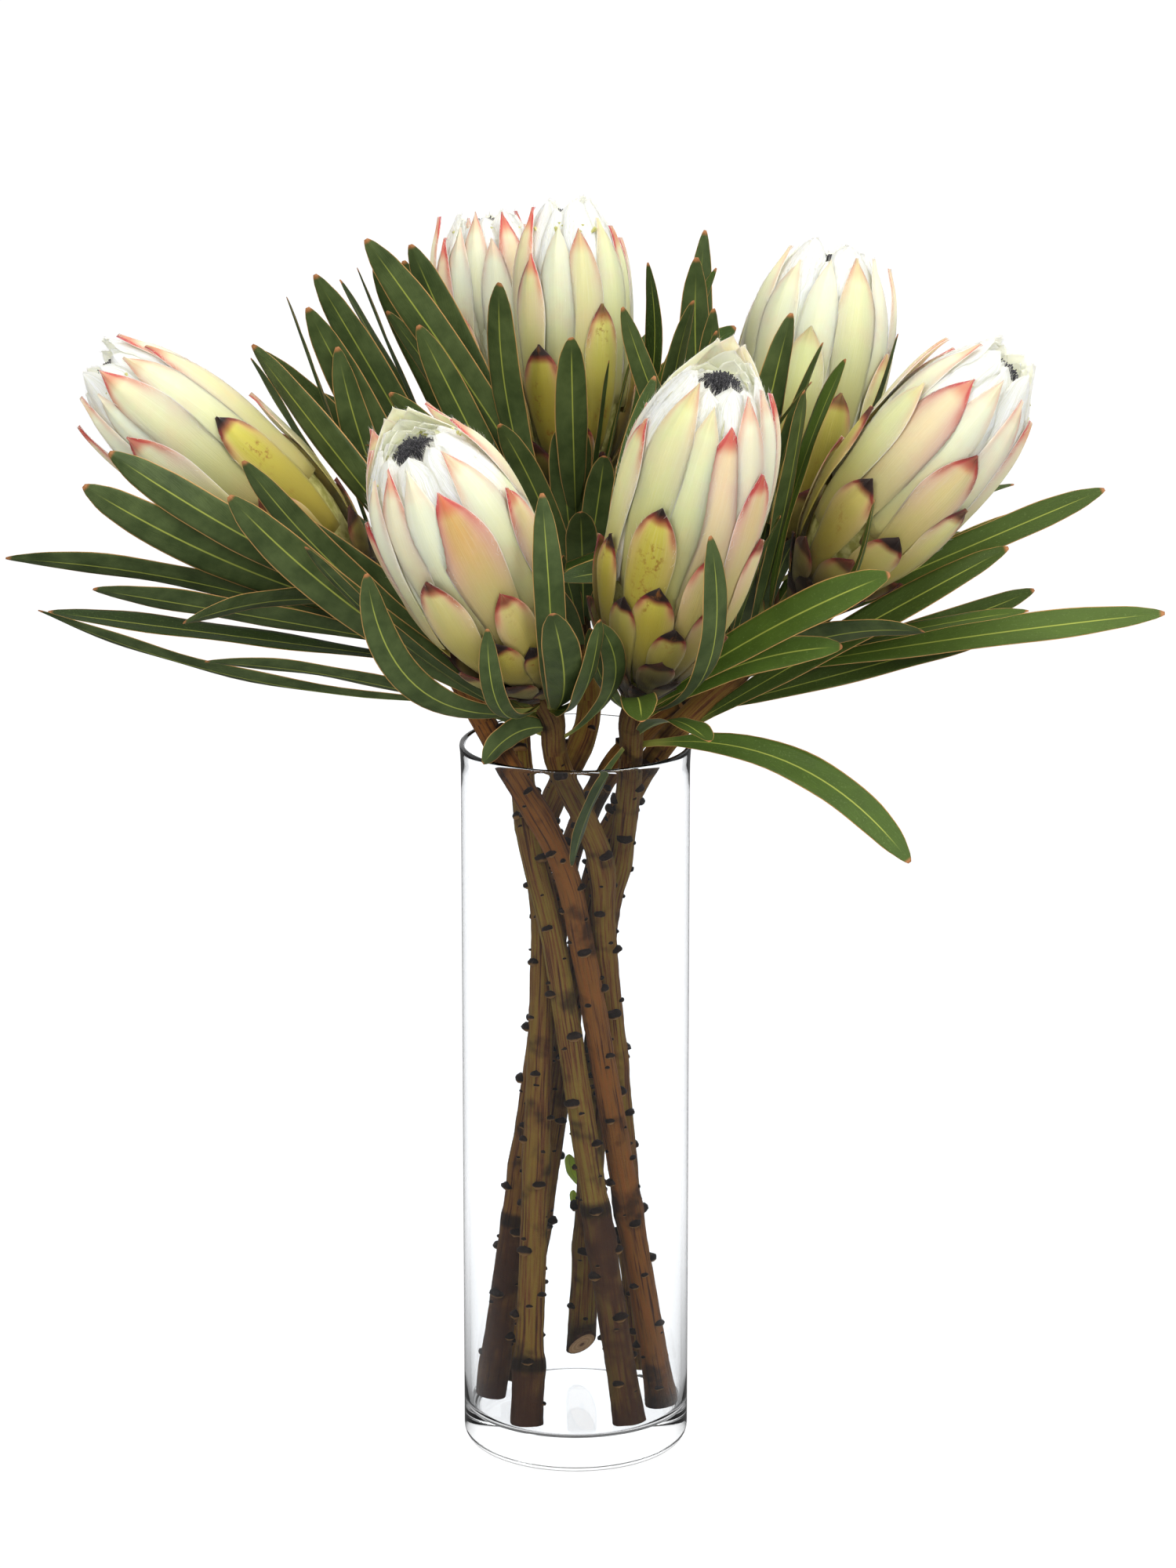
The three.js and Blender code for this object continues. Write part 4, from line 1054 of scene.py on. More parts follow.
# Those that face the camera: turn, tip as a share of the head, width, then how salmon, yellow-green,
# red-rimmed and dark-tipped, and how far the tip stands out.
seenBracts = {
    "farLeft": [
        (-85, 1.03, 23, 0.15, 0.35, 0.8, 0.1, 0), (-115, 0.85, 22, 0.3, 0.3, 0.9, 0.3, 0),
        (-169, 0.97, 19, 0.7, 0.1, 1, 0.4, 5), (-51, 0.69, 20, 0.1, 1, 0.6, 1, 0),
        (-8, 1.05, 16, 0.3, 0.1, 0.8, 0.1, 0), (-16, 0.97, 19, 0.3, 0.4, 0.7, 0.2, 0),
        (-141, 1.02, 17, 0.1, 0.1, 0.5, 0, 1), (-81, 0.45, 19, 0.2, 0.8, 0.8, 0.7, 0),
        (-121, 0.36, 17, 0.2, 0.9, 0.3, 1, 0), (-160, 0.58, 17, 0.4, 0.6, 0.8, 0.3, 0),
        (-50, 1.0, 20, 0.1, 0.35, 0.4, 0, 0), (-112, 0.99, 18, 0, 0.15, 0.2, 0, 0),
    ],
    "frontLeft": [
        (-81, 0.95, 25, 1, 0.4, 0.8, 0, 0), (-131, 1.04, 18, 0.45, 0.1, 0.7, 0.1, 0),
        (131, 1.05, 16, 0.5, 0.1, 0.9, 0.1, 4), (-169, 0.86, 17, 0.9, 0.3, 0.9, 0.4, 0),
        (-104, 1.03, 20, 0.05, 0.15, 0.1, 0, 0), (-50, 1.03, 21, 0.1, 0.2, 0.5, 0, 0),
        (7, 1.04, 19, 0.45, 0.15, 0.7, 0, 2), (-29, 0.83, 19, 0.7, 0.3, 0.8, 0.2, 0),
        (-118, 0.71, 21, 0.4, 0.75, 0.8, 0.8, 0), (-75, 0.58, 17, 0.35, 0.75, 0.9, 0.5, 0),
        (-95, 0.43, 15, 0.1, 0.9, 0.5, 1, 0), (-73, 0.34, 13, 0.1, 0.9, 0.6, 1, 0),
        (51, 1.07, 17, 0.3, 0.1, 0.7, 0.1, 2), (-155, 1.0, 18, 0.15, 0.1, 0.3, 0, 1),
        (66, 1.1, 26, 0, 0.15, 0.1, 0, 0), (96, 1.12, 27, 0, 0.2, 0.1, 0, 0),
        (124, 1.1, 25, 0, 0.1, 0.2, 0, 0),
    ],
    "middle": [
        (-118, 0.59, 20, 0.15, 1, 0.9, 1, 0), (-60, 0.72, 17, 0.1, 0.9, 0.5, 0.7, 0),
        (-86, 0.34, 15, 0.1, 0.9, 1, 1, 0), (-131, 0.89, 17, 0.35, 0.6, 0.8, 0.1, 0),
        (-76, 0.97, 19, 0.3, 0.5, 0.5, 0, 0), (-148, 1.04, 17, 0.4, 0.3, 1, 0.1, 2),
        (-13, 0.97, 18, 0.1, 0.5, 0.8, 0.1, 0), (56, 1.04, 15, 0.6, 0.2, 0.6, 0, 1),
        (-154, 0.51, 16, 0.3, 0.8, 0.6, 0.4, 0), (-103, 0.98, 18, 0, 0.25, 0.1, 0, 0),
        (-42, 1.0, 18, 0.05, 0.5, 0.2, 0, 0),
    ],
    "back": [
        (-141, 0.97, 14, 0.8, 0.1, 1, 0.2, 2), (-104, 1.05, 16, 0.15, 0.15, 0.5, 0, 0),
        (-64, 1.04, 16, 0.7, 0.1, 1, 0.1, 1), (-165, 1.05, 14, 0.3, 0.1, 0.8, 0, 4),
        (40, 1.05, 14, 0.6, 0.1, 1, 0.1, 1), (-84, 0.95, 16, 0.1, 0.15, 0.3, 0, 0),
        (-120, 0.7, 16, 0.5, 0.3, 0.5, 0, 0), (-123, 1.0, 15, 0.05, 0.1, 0.3, 0, 1),
        (-35, 0.99, 16, 0.2, 0.1, 0.5, 0, 1), (-80, 0.6, 16, 0.3, 0.5, 0.5, 0.4, 0),
    ],
    "frontRight": [
        (-124, 1.04, 22, 0.1, 0.6, 0.4, 0, 0), (-158, 0.89, 21, 0.15, 0.6, 0.8, 0.2, 0),
        (-72, 0.96, 26, 1, 0.1, 1, 0.1, 0), (-52, 1.03, 19, 0.4, 0.05, 0.5, 0, 0),
        (2, 1.0, 16, 0.6, 0.05, 1, 0.1, 1), (-41, 0.84, 19, 0.8, 0.3, 1, 0.3, 0),
        (-111, 0.72, 21, 0.15, 1, 0.8, 1, 0), (-147, 0.56, 16, 0.1, 0.95, 0.6, 1, 0),
        (-99, 0.49, 18, 0.1, 1, 0.8, 1, 0), (-69, 0.61, 16, 0.5, 0.6, 0.9, 0.4, 0),
        (-122, 0.42, 14, 0.1, 0.8, 0.5, 1, 0), (-81, 0.37, 15, 0.1, 0.8, 0.5, 1, 0),
        (-56, 0.46, 15, 0.4, 0.5, 0.8, 0.9, 0), (-95, 1.0, 19, 0.05, 0.5, 0.2, 0, 0),
        (-22, 1.03, 18, 0.2, 0.05, 0.4, 0, 0), (-27, 0.63, 16, 0.5, 0.3, 0.8, 0.5, 0),
        (60, 1.09, 25, 0, 0.1, 0.1, 0, 0), (88, 1.11, 25, 0.1, 0.15, 0.2, 0, 0),
        (117, 1.09, 24, 0, 0.15, 0.1, 0, 0),
    ],
    "backRight": [
        (-63, 1.03, 23, 0.1, 0.5, 0.4, 0.1, 0), (92, 1.04, 16, 0.1, 0.2, 0.3, 0, 0),
        (-35, 1.04, 17, 0, 0.1, 0.2, 0, 1), (-6, 1.02, 17, 0.3, 0.1, 0.4, 0, 4),
        (-5, 0.89, 17, 0.5, 0.3, 0.5, 0, 1), (-131, 0.99, 20, 0.05, 0.3, 0.2, 0, 0),
        (-100, 0.79, 20, 0.05, 0.7, 0.2, 0.2, 0), (-69, 0.6, 18, 0.1, 0.9, 0.5, 0.6, 0),
        (-96, 1.01, 18, 0, 0.2, 0.1, 0, 0), (-160, 1.03, 18, 0.1, 0.3, 0.3, 0, 1),
        (-30, 0.75, 18, 0.2, 0.7, 0.4, 0.2, 0),
    ],
    "farRight": [
        (-119, 0.97, 25, 0.8, 0.15, 0.8, 0, 0), (-174, 0.67, 18, 0.3, 0.9, 0.8, 0.8, 0),
        (-70, 0.81, 24, 0.6, 0.5, 0.9, 0.7, 0), (-121, 0.55, 19, 0.3, 0.8, 0.5, 1, 0),
        (-44, 0.64, 18, 0.3, 0.6, 0.5, 0.8, 0), (-76, 0.46, 19, 0.2, 0.6, 0.4, 1, 0),
        (163, 0.96, 19, 0.3, 0.3, 0.5, 0.1, 4), (-161, 1.04, 18, 0.15, 0.2, 0.5, 0, 0),
        (-91, 1.02, 19, 0.1, 0.15, 0.3, 0, 0), (-147, 0.86, 20, 0.1, 0.6, 0.2, 0, 0),
        (-50, 1.0, 18, 0.2, 0.1, 0.4, 0, 0), (-20, 0.95, 18, 0.4, 0.2, 0.6, 0.1, 0),
    ],
}
# The rest follow the golden angle, from dark scales at the foot to pale bracts at the mouth.
spiralBracts = {
    "count": 38, "firstTip": 0.07, "lastTip": 1.03, "crowding": 1.4, "behind": 0.15, "scales": 0.32,
    "tipJitter": 0.04, "turnJitter": 0.2, "footWidth": 11.0, "topWidth": 19.0, "flareFrom": 0.9, "flare": 3,
}
underBracts = {
    "count": 9, "tip": 0.97, "tipJitter": 0.05, "inset": 2.6, "width": 25,
    "blush": 0.1, "green": 0.4, "rim": 0.1,
}
# The white inner bracts that close over the mouth: tip, inset at the tip and foot, lean inwards, count.
innerCrowns = [
    {"tip": 1.04, "inset": 0.6, "foot": 6.0, "lean": 0.36, "count": 9},
    {"tip": 1.02, "inset": 1.4, "foot": 7.0, "lean": 0.46, "count": 10},
    {"tip": 0.99, "inset": 2.2, "foot": 8.0, "lean": 0.5, "count": 12},
]
innerBracts = {
    "start": 0.42, "width": 0.8, "arch": 8, "tipJitter": 0.07, "turnJitter": 0.3, "opening": 0.35,
    "row": 1.2, "rowStep": 0.1, "blush": 0.1, "green": 0.1, "rim": 0.05,
}


def headFrame(flower):
    along = axisOf(flower)
    right = unit(np.cross([0, 1, 0], along))
    back = np.cross(along, right)
    length = np.linalg.norm(np.subtract(flower["top"], flower["neck"]))
    return np.array(flower["neck"], float), right, back, along, length


def headShare(height):
    places, shares = zip(*headOutline)
    return np.interp(height, places, shares)


def bractPoints(name):
    flower = flowers[name]
    size, spiral, under, inner = bractSizes, spiralBracts, underBracts, innerBracts
    length = headFrame(flower)[4]
    labels = (
        "angle", "low", "high", "halfTurn", "arch", "insetLow", "insetHigh",
        "flare", "lean", "row", "seed", "tone", "darkTip",
    )
    columns = {label: [] for label in labels}
    number = 60 * flowerNames.index(name)

    def addRow(*values):
        for label, value in zip(labels, values):
            columns[label].append(value)

    def addBract(turn, tip, width, flush, green, rim, dark, flare, inset=0.0):
        index = number + len(columns["seed"])
        level = min(1, tip)
        low = max(size["footLow"], tip - size["shortest"] - (size["longest"] - size["shortest"]) * level)
        if tip > size["hoodFrom"]:
            arch, closing = size["hoodArch"], size["hoodClosing"]
        else:
            arch = size["footArch"] + (size["topArch"] - size["footArch"]) * level
            closing = size["closing"] * (1 - flower["spread"])
            closing *= max(0, level - size["closingFrom"]) / (1 - size["closingFrom"])
        radius = flower["widest"] * headShare(tip - arch / length)
        sunk = inset + size["layering"] * (index * 0.618 % 1)
        addRow(
            math.radians(turn), low, tip, width / 2 / radius, arch / length / (tip - low),
            (size["slope"] * (tip - low) + sunk) * mm, (sunk - size["tipProud"]) * mm,
            flare * mm, closing, level, scatter(index), (flush, green, rim), dark,
        )

    for bract in seenBracts[name]:
        addBract(*bract)

    for k in range(spiral["count"]):
        share = k / (spiral["count"] - 1)
        seed = scatter(number + 3 * k)
        tip = spiral["firstTip"] + (spiral["lastTip"] - spiral["firstTip"]) * share ** spiral["crowding"]
        tip += spiral["tipJitter"] * (scatter(number + k + 0.3) - 0.5) * share
        angle = k * goldenAngle + math.radians(flower["turn"])
        angle += spiral["turnJitter"] * (scatter(number + k + 0.6) - 0.5)
        if tip > spiral["scales"] and math.sin(angle) < spiral["behind"]:
            continue
        width = spiral["footWidth"] + (spiral["topWidth"] - spiral["footWidth"]) * min(1, 2 * share)
        flush = flower["blush"] * seed * (0.3 + 0.7 * share)
        green = max(0.1, 1.2 - 1.3 * share) * (0.5 + 0.5 * flower["green"])
        rim, dark = 0.5 + 0.4 * seed, max(0, 1.25 - 1.6 * share)
        flare = spiral["flare"] * flower["spread"] * scatter(number + k) if tip > spiral["flareFrom"] else 0
        addBract(math.degrees(angle), tip, width, flush, green, rim, dark, flare)

    for k in range(under["count"]):
        turn = 360 * k / under["count"] + flower["turn"]
        tip = under["tip"] - under["tipJitter"] * scatter(k)
        flush = under["blush"] * flower["blush"]
        addBract(turn, tip, under["width"], flush, under["green"], under["rim"], 0, 0, under["inset"])

    for layer, crown in enumerate(innerCrowns):
        lean = crown["lean"] * (1 - inner["opening"] * flower["spread"])
        tone = (inner["blush"] * flower["blush"], inner["green"], inner["rim"])
        for k in range(crown["count"]):
            seed = scatter(number + 7 * k + layer)
            turn = 2 * math.pi * (k + 0.5 * layer) / crown["count"] + inner["turnJitter"] * (seed - 0.5)
            tip = crown["tip"] + inner["tipJitter"] * (scatter(number + k + 0.9) - 0.5)
            halfTurn = inner["width"] * 2 * math.pi / crown["count"]
            addRow(
                turn + math.radians(flower["turn"]), inner["start"], tip, halfTurn,
                inner["arch"] / length / (tip - inner["start"]), crown["foot"] * mm, crown["inset"] * mm,
                0.0, lean, inner["row"] + inner["rowStep"] * layer, seed, tone, 0.0,
            )
    return pointMesh(name + "Bracts", len(columns["seed"]), columns)


def bractTree():
    size = bractSizes
    inputs = {
        "Across": size["across"], "Lengthwise": size["lengthwise"], "Thickness": size["thickness"] * mm,
        "Overlap": size["overlap"] * mm, "Foot width": size["footWidth"], "Widest": 0.03, "Length": 0.12,
        "Neck X": 0.0, "Neck Y": 0.0, "Neck Z": 0.0, "Axis X": 0.0, "Axis Y": 0.0, "Axis Z": 1.0,
    }
    tree, entry = newGeometryTree("bractSpiral", inputs)
    blades, u, v, w = bladeGrids(tree, entry, size["crowding"])
    low, high = readAttribute(tree, "low"), readAttribute(tree, "high")
    seed, row = readAttribute(tree, "seed"), readAttribute(tree, "row")
    edge = u.plain("ABSOLUTE")
    inner = row.ramp(1.0, 1.15)
    height = low + (high - low) * v
    outline = [(up / size["outlineTo"], share) for up, share in headOutline] + [(1.0, size["outlineEnd"])]
    radius = entry["Widest"] * tree.curve(height / size["outlineTo"], outline)
    lean = readAttribute(tree, "lean")
    radius = radius * (1 - lean * v ** 5)
    insetLow, insetHigh = readAttribute(tree, "insetLow"), readAttribute(tree, "insetHigh")
    inset = insetLow + (insetHigh - insetLow) * v
    fromTip = ((1 - v) / readAttribute(tree, "arch")).plain("ABSOLUTE")
    shape = tree.curve(fromTip - (fromTip - 1.0).ramp(-1e-5, 1e-5) * (fromTip - 1.0), size["archOutline"])
    shape = shape * (entry["Foot width"] + (1 - entry["Foot width"]) * v.ramp(-0.25, 0.72))
    frayed = (v * 47.0 + seed * 60.0 + u * 2.0).plain("SINE") * 0.07 * inner
    turn = readAttribute(tree, "halfTurn") * shape * (1 + frayed) * u
    wrinkle = (v * 9.0 + seed * 30.0 + u * 2.0).plain("SINE") * edge * edge * (0.0003 + 0.0005 * inner)
    keel = (1 - edge.ramp(0.0, 0.5)) * v.ramp(0.35, 1.0) * 0.0005
    cupped = edge * edge * v * 0.0007
    thick = entry["Thickness"] * (1.25 - edge) * (1.15 - 0.6 * v)
    tilt = entry["Overlap"] * u * (1 - v * 0.5)
    flare = readAttribute(tree, "flare") * v * v * v
    reach = radius - inset + tilt + wrinkle + keel - cupped + flare + w * thick
    angle = readAttribute(tree, "angle") + turn
    along = tree.vector(entry["Axis X"], entry["Axis Y"], entry["Axis Z"])
    right = tree.unit(tree.cross((0.0, 1.0, 0.0), along))
    back = tree.cross(along, right)
    neck = tree.vector(entry["Neck X"], entry["Neck Y"], entry["Neck Z"])
    spoke = right * angle.plain("COSINE") + back * angle.plain("SINE")
    where = neck + spoke * reach + along * (height * entry["Length"])
    blades = storeAttribute(tree, blades, "grow", along + spoke * (0.25 - 3.4 * lean * v * v * v))
    blades = tree.add("GeometryNodeSetPosition", {}, {0: blades, 2: where})
    fringe = edge.ramp(0.8, 1.0) * v.ramp(0.4, 0.7) + v.ramp(0.93, 1.0) * 0.5
    hairy = (fringe * row.ramp(0.55, 0.95) * 0.6 + inner * v.ramp(0.6, 0.9) * 0.6) * w.ramp(-0.5, 0.5)
    blades = storeAttribute(tree, blades, "hairy", hairy, "FLOAT")
    endGeometryTree(tree, blades, entry["Material"])
    return tree


def makeBractFinish():
    material, tree, shader = newMaterial("silkyBract")
    blade, tone = attribute(tree, "blade"), attribute(tree, "tone")
    row, seed, darkTip = attribute(tree, "row", 2), attribute(tree, "seed", 2), attribute(tree, "darkTip", 2)
    arch = attribute(tree, "arch", 2)
    u, v, w = blade.part(0), blade.part(1), blade.part(2)
    flush, green, rim = tone.part(0), tone.part(1), tone.part(2)
    edge = u.plain("ABSOLUTE")
    nearTip = 1 - ((1 - v) / arch).ramp(0.0, 1.0)
    outer = 1 - row.ramp(1.0, 1.15)
    place = objectPlace(tree)
    clouds = tree.noise(place, 60.0, 3.0, 0.55)
    veins = tree.noise(tree.vector(u * 11.0, v * 1.2, seed * 40.0), 3.0, 4.0, 0.65)
    specks = tree.noise(place, 300.0, 3.0, 0.7)
    onHead = attribute(tree, "low", 2) + (attribute(tree, "high", 2) - attribute(tree, "low", 2)) * v
    pale = tree.mix(green, srgb(236, 238, 204), srgb(206, 214, 124))
    # Darker olive towards the foot of the head: partly the lower bracts' own colour, partly painted shade.
    shaded = tree.mix(green, srgb(206, 202, 124), srgb(154, 152, 50))
    skin = tree.mix(onHead.ramp(0.15, 0.75), shaded, pale)
    yellow = tree.mix(nearTip, srgb(172, 162, 36), srgb(204, 194, 74))
    skin = tree.mix(green.ramp(0.7, 1.0) * 0.85, skin, yellow)
    centre = tree.mix(green.ramp(0.1, 0.4), srgb(240, 202, 158), srgb(204, 156, 88))
    salmon = tree.mix(edge.ramp(0.15, 0.95), centre, srgb(226, 148, 126))
    skin = tree.mix(flush * (0.25 + 0.7 * v.ramp(0.1, 0.8)), skin, salmon)
    skin = tree.mix(clouds.ramp(0.42, 0.7) * 0.35 * outer * (1 - green), skin, srgb(236, 176, 160))
    lit = onHead.ramp(0.3, 0.8) * outer * (1 - green * 0.6) * (1 - flush * 0.5)
    skin = tree.mix(veins.ramp(0.45, 0.72) * lit * 0.3, skin, srgb(250, 248, 228))
    skin = tree.mix(edge.ramp(0.3, 1.0) * v.ramp(0.3, 0.9) * rim * 0.45 * outer, skin, srgb(234, 168, 152))
    # Painted shade: each outer bract darker olive towards its foot, where the bracts above cover it.
    skin = tree.mix((1 - v.ramp(0.25, 0.8)) * 0.55 * outer, skin, srgb(136, 128, 50))
    # Painted shade together with the lower bracts' own olive-brown: the lower part of the head darker.
    skin = tree.mix((1 - onHead.ramp(0.25, 0.68)) * 0.5, skin, srgb(150, 128, 50))
    margin = edge.ramp(0.45, 0.95) * nearTip.ramp(0.02, 0.6) + nearTip.ramp(0.66, 0.95)
    skin = tree.mix(margin * rim * 0.85, skin, tree.mix(nearTip, srgb(222, 116, 98), srgb(190, 44, 54)))
    darkFrom = nearTip - 0.5 - row * 0.5
    brownRim = darkTip * (edge.ramp(0.6, 1.0) * nearTip.ramp(0.0, 0.6) + darkFrom.ramp(-0.16, 0.06))
    skin = tree.mix(brownRim * 0.85, skin, srgb(108, 32, 28))
    skin = tree.mix(darkTip * darkFrom.ramp(0.0, 0.12), skin, srgb(26, 16, 16))
    foot = (1 - onHead.ramp(0.07, 0.36)) * (0.6 + 0.4 * clouds.ramp(0.3, 0.6))
    skin = tree.mix(foot * 0.95, skin, srgb(40, 28, 20))
    smears = specks.ramp(0.5, 0.64) * clouds.ramp(0.5, 0.62) * green.ramp(0.6, 1.0)
    skin = tree.mix(smears * (1 - edge.ramp(0.3, 0.7)) * 0.75, skin, srgb(130, 78, 24))
    lash = edge.ramp(0.96, 0.99) * row.ramp(0.6, 0.95) * v.ramp(0.3, 0.6)
    skin = tree.mix(lash * 0.6, skin, srgb(252, 249, 242))
    wool = tree.mix(veins.ramp(0.35, 0.6), srgb(222, 222, 200), srgb(247, 246, 240))
    within = tree.mix(v.ramp(0.7, 0.95), srgb(198, 204, 106), srgb(248, 248, 230))
    cream = tree.mix(clouds.ramp(0.3, 0.7), srgb(214, 218, 168), srgb(230, 214, 188))
    wool = tree.mix(onHead.ramp(0.78, 0.92), cream, wool)
    skin = tree.mix(1 - outer, skin, tree.mix(w.ramp(-0.2, 0.2), within, wool))
    # Painted light: the inner faces of the upper bracts glow faintly, standing in for light shining through
    # them.
    through = (1 - w.ramp(-0.2, 0.2)) * onHead.ramp(0.82, 0.98)
    paintedBacklight = tree.mix(through, (0, 0, 0, 1), (0.17, 0.175, 0.13, 1))
    feed(tree, shader, Emission_Color=paintedBacklight, Emission_Strength=1.0)
    height = veins * 0.8 + specks * 0.15 + clouds * 0.3
    raised = bump(tree, height, 0.4, 0.0007)
    feed(tree, shader, Base_Color=skin, Roughness=0.46 + 0.25 * clouds, Normal=raised)
    feed(tree, shader, Sheen_Weight=0.1, Sheen_Roughness=0.4, Subsurface_Weight=0.6, Specular_IOR_Level=0.3)
    shader.inputs["Subsurface Radius"].default_value = (0.004, 0.0035, 0.0025)
    shader.inputs["Subsurface Scale"].default_value = 1.0
    return material


# The closed core that the bracts stand on, with the cup for the tuft in its top. Heights are shares of
# the head's length, and the mouth is given as height and share of the widest radius.
coreSizes = {
    "sides": 36, "foot": 0.01, "footRing": 0.012, "footRadius": 4.6, "body": (0.07, 0.8, 16), "sunk": 6.4,
    "shoulders": (0.86, 0.91, 0.95), "shoulderSunk": 7.5, "floor": 0.8,
    "mouth": [(0.975, 0.46), (0.98, 0.4), (0.965, 0.36), (0.86, 0.34), (0.8, 0.32)],
}


def makeCore(name, material):
    size = coreSizes
    neck, right, back, along, length = headFrame(flowers[name])
    widest = flowers[name]["widest"]
    profile = [(size["footRing"], size["footRadius"] / widest)]
    profile += [(height, headShare(height) - size["sunk"] / widest) for height in np.linspace(*size["body"])]
    profile += [(height, headShare(height) - size["shoulderSunk"] / widest) for height in size["shoulders"]]
    profile += size["mouth"]
    turns = [2 * math.pi * k / size["sides"] for k in range(size["sides"])]
    spokes = [right * math.cos(turn) + back * math.sin(turn) for turn in turns]
    rings = [
        [(neck + spoke * share * widest + along * height * length) * mm for spoke in spokes]
        for height, share in profile
    ]
    foot, floor = ((neck + along * size[end] * length) * mm for end in ("foot", "floor"))
    piece = skinPiece(name + "Core", rings, foot, floor, material)
    heights = np.repeat([height for height, share in profile], size["sides"]).tolist()
    layer = piece.data.attributes.new("upHead", "FLOAT", "POINT")
    layer.data.foreach_set("value", heights + [size["foot"], size["floor"]])
    return piece


def makeCoreFinish():
    material, tree, shader = newMaterial("headCore")
    place = objectPlace(tree)
    streaks = tree.noise(place, 240.0, 3.0, 0.6)
    base = tree.mix(streaks.ramp(0.35, 0.65), srgb(150, 146, 70), srgb(196, 190, 120))
    wool = tree.mix(streaks.ramp(0.35, 0.6), srgb(214, 214, 164), srgb(248, 248, 240))
    base = tree.mix(attribute(tree, "upHead", 2).ramp(0.84, 0.9), base, wool)
    feed(tree, shader, Base_Color=base, Roughness=0.6 + 0.2 * streaks, Normal=bump(tree, streaks, 0.5, 0.001))
    return material


# ---- silk: fine white hairs on the margins of the upper bracts, and wool round the mouth

silkSizes = {"perSquareMetre": 1500000.0, "length": 3.0, "radius": 0.055, "tangle": 0.4, "scales": (0.5, 1.2)}


def silkTree():
    size = silkSizes
    inputs = {
        "Density": size["perSquareMetre"], "Length": size["length"] * mm, "Radius": size["radius"] * mm,
        "Tangle": size["tangle"], "Seed": 1,
    }
    tree, entry = newGeometryTree("silkFringe", inputs)
    density = readAttribute(tree, "hairy") * entry["Density"]
    sockets = {"Mesh": entry["Geometry"], "Density": density, "Seed": entry["Seed"]}
    points = tree.add("GeometryNodeDistributePointsOnFaces", {"distribute_method": "RANDOM"}, sockets)
    cone = {"Vertices": 3, "Radius Top": 0.0, "Radius Bottom": entry["Radius"], "Depth": entry["Length"]}
    plantCones(tree, entry, points, cone, size["scales"], 7)
    return tree


def makeSilkFinish():
    material, tree, shader = newMaterial("whiteSilk")
    place = attribute(tree, "hairPlace")
    shade = place.part(2) * 120.0
    base = tree.mix(shade.ramp(0.0, 0.5), srgb(232, 228, 210), srgb(252, 250, 246))
    feed(tree, shader, Base_Color=base, Roughness=0.45 + 0.2 * shade.ramp(0.0, 0.6), Sheen_Weight=0.3)
    return material


# ---- tufts: dark fuzzy florets in the mouth of each head, with a ring of pale green ones

tuftSizes = {
    "radiusShare": 0.27, "edgeHeight": 0.915, "domeHeight": 0.07, "dome": 2.4, "uneven": 0.012,
    "spread": 0.55, "filaments": 1200, "length": 4.6, "radius": 0.22, "top": 1.25, "bottom": 0.6, "tangle": 0.45,
    "scales": (0.6, 1.15), "paleFrom": 0.94,
    "ring": 120, "ringShare": 0.4, "ringHeight": 0.9, "ringScale": 2.2, "ringSpread": 0.1,
}


def tuftPoints(name):
    flower = flowers[name]
    size = tuftSizes
    neck, right, back, along, length = headFrame(flower)
    places, leans, seeds, scales, pale = [], [], [], [], []
    total = size["filaments"] + size["ring"]
    for k in range(total):
        angle = k * goldenAngle
        spoke = right * math.cos(angle) + back * math.sin(angle)
        inRing = k >= size["filaments"]
        share = 1.0 if inRing else math.sqrt((k + 0.5) / size["filaments"])
        reach = (size["ringShare"] if inRing else size["radiusShare"]) * flower["widest"] * share
        height = size["edgeHeight"] + size["domeHeight"] * (1 - share ** size["dome"])
        height = size["ringHeight"] if inRing else height + size["uneven"] * scatter(k + 0.5)
        places.append((neck + spoke * reach + along * height * length) * mm)
        leans.append(along + spoke * (size["ringSpread"] if inRing else size["spread"] * share))
        seeds.append(scatter(k))
        scales.append(size["ringScale"] if inRing else 1.0)
        pale.append(1.0 if inRing or share > size["paleFrom"] else 0.0)
    columns = {"grow": leans, "seed": seeds, "grownBy": scales, "pale": pale}
    return pointMesh(name + "Filaments", total, columns, places)


def tuftTree():
    size = tuftSizes
    inputs = {"Length": size["length"] * mm, "Radius": size["radius"] * mm, "Tangle": size["tangle"], "Seed": 1}
    tree, entry = newGeometryTree("floretTuft", inputs)
    cone = {
        "Vertices": 4, "Side Segments": 2, "Radius Top": entry["Radius"] * size["top"],
        "Radius Bottom": entry["Radius"] * size["bottom"], "Depth": entry["Length"],
    }
    plantCones(tree, entry, entry["Geometry"], cone, size["scales"], 1, readAttribute(tree, "grownBy"))
    return tree


def makeTuftFinish():
    material, tree, shader = newMaterial("darkFlorets")
    seed, pale = attribute(tree, "seed", 2), attribute(tree, "pale", 2)
    place = attribute(tree, "hairPlace")
    clouds = tree.noise(objectPlace(tree), 500.0, 2.0)
    base = tree.mix(seed, srgb(16, 15, 19), srgb(44, 41, 50))
    base = tree.mix(clouds.ramp(0.58, 0.75) * 0.5, base, srgb(112, 106, 114))
    base = tree.mix((place.part(2) * 200.0).ramp(0.0, 0.9) * 0.35, base, srgb(16, 13, 18))
    base = tree.mix(pale, base, tree.mix(seed, srgb(168, 168, 84), srgb(206, 202, 132)))
    feed(tree, shader, Base_Color=base, Roughness=0.7 + 0.2 * clouds, Sheen_Weight=0.3)
    return material


# ---- building it all

glass, bark, cutFinish, leafFinish = makeGlass(), makeBark(), makeCutFinish(), makeLeafFinish()
bractFinish, coreFinish = makeBractFinish(), makeCoreFinish()
silkFinish, tuftFinish = makeSilkFinish(), makeTuftFinish()
trees = {
    "bark": barkTree(), "scars": scarTree(), "leaves": leafTree(),
    "bracts": bractTree(), "silk": silkTree(), "tuft": tuftTree(),
}
print("finishes and trees made")

vasePiece = makeVase(glass)
settle(vasePiece, "vase_glass", "glass_vase")
print("vase made")

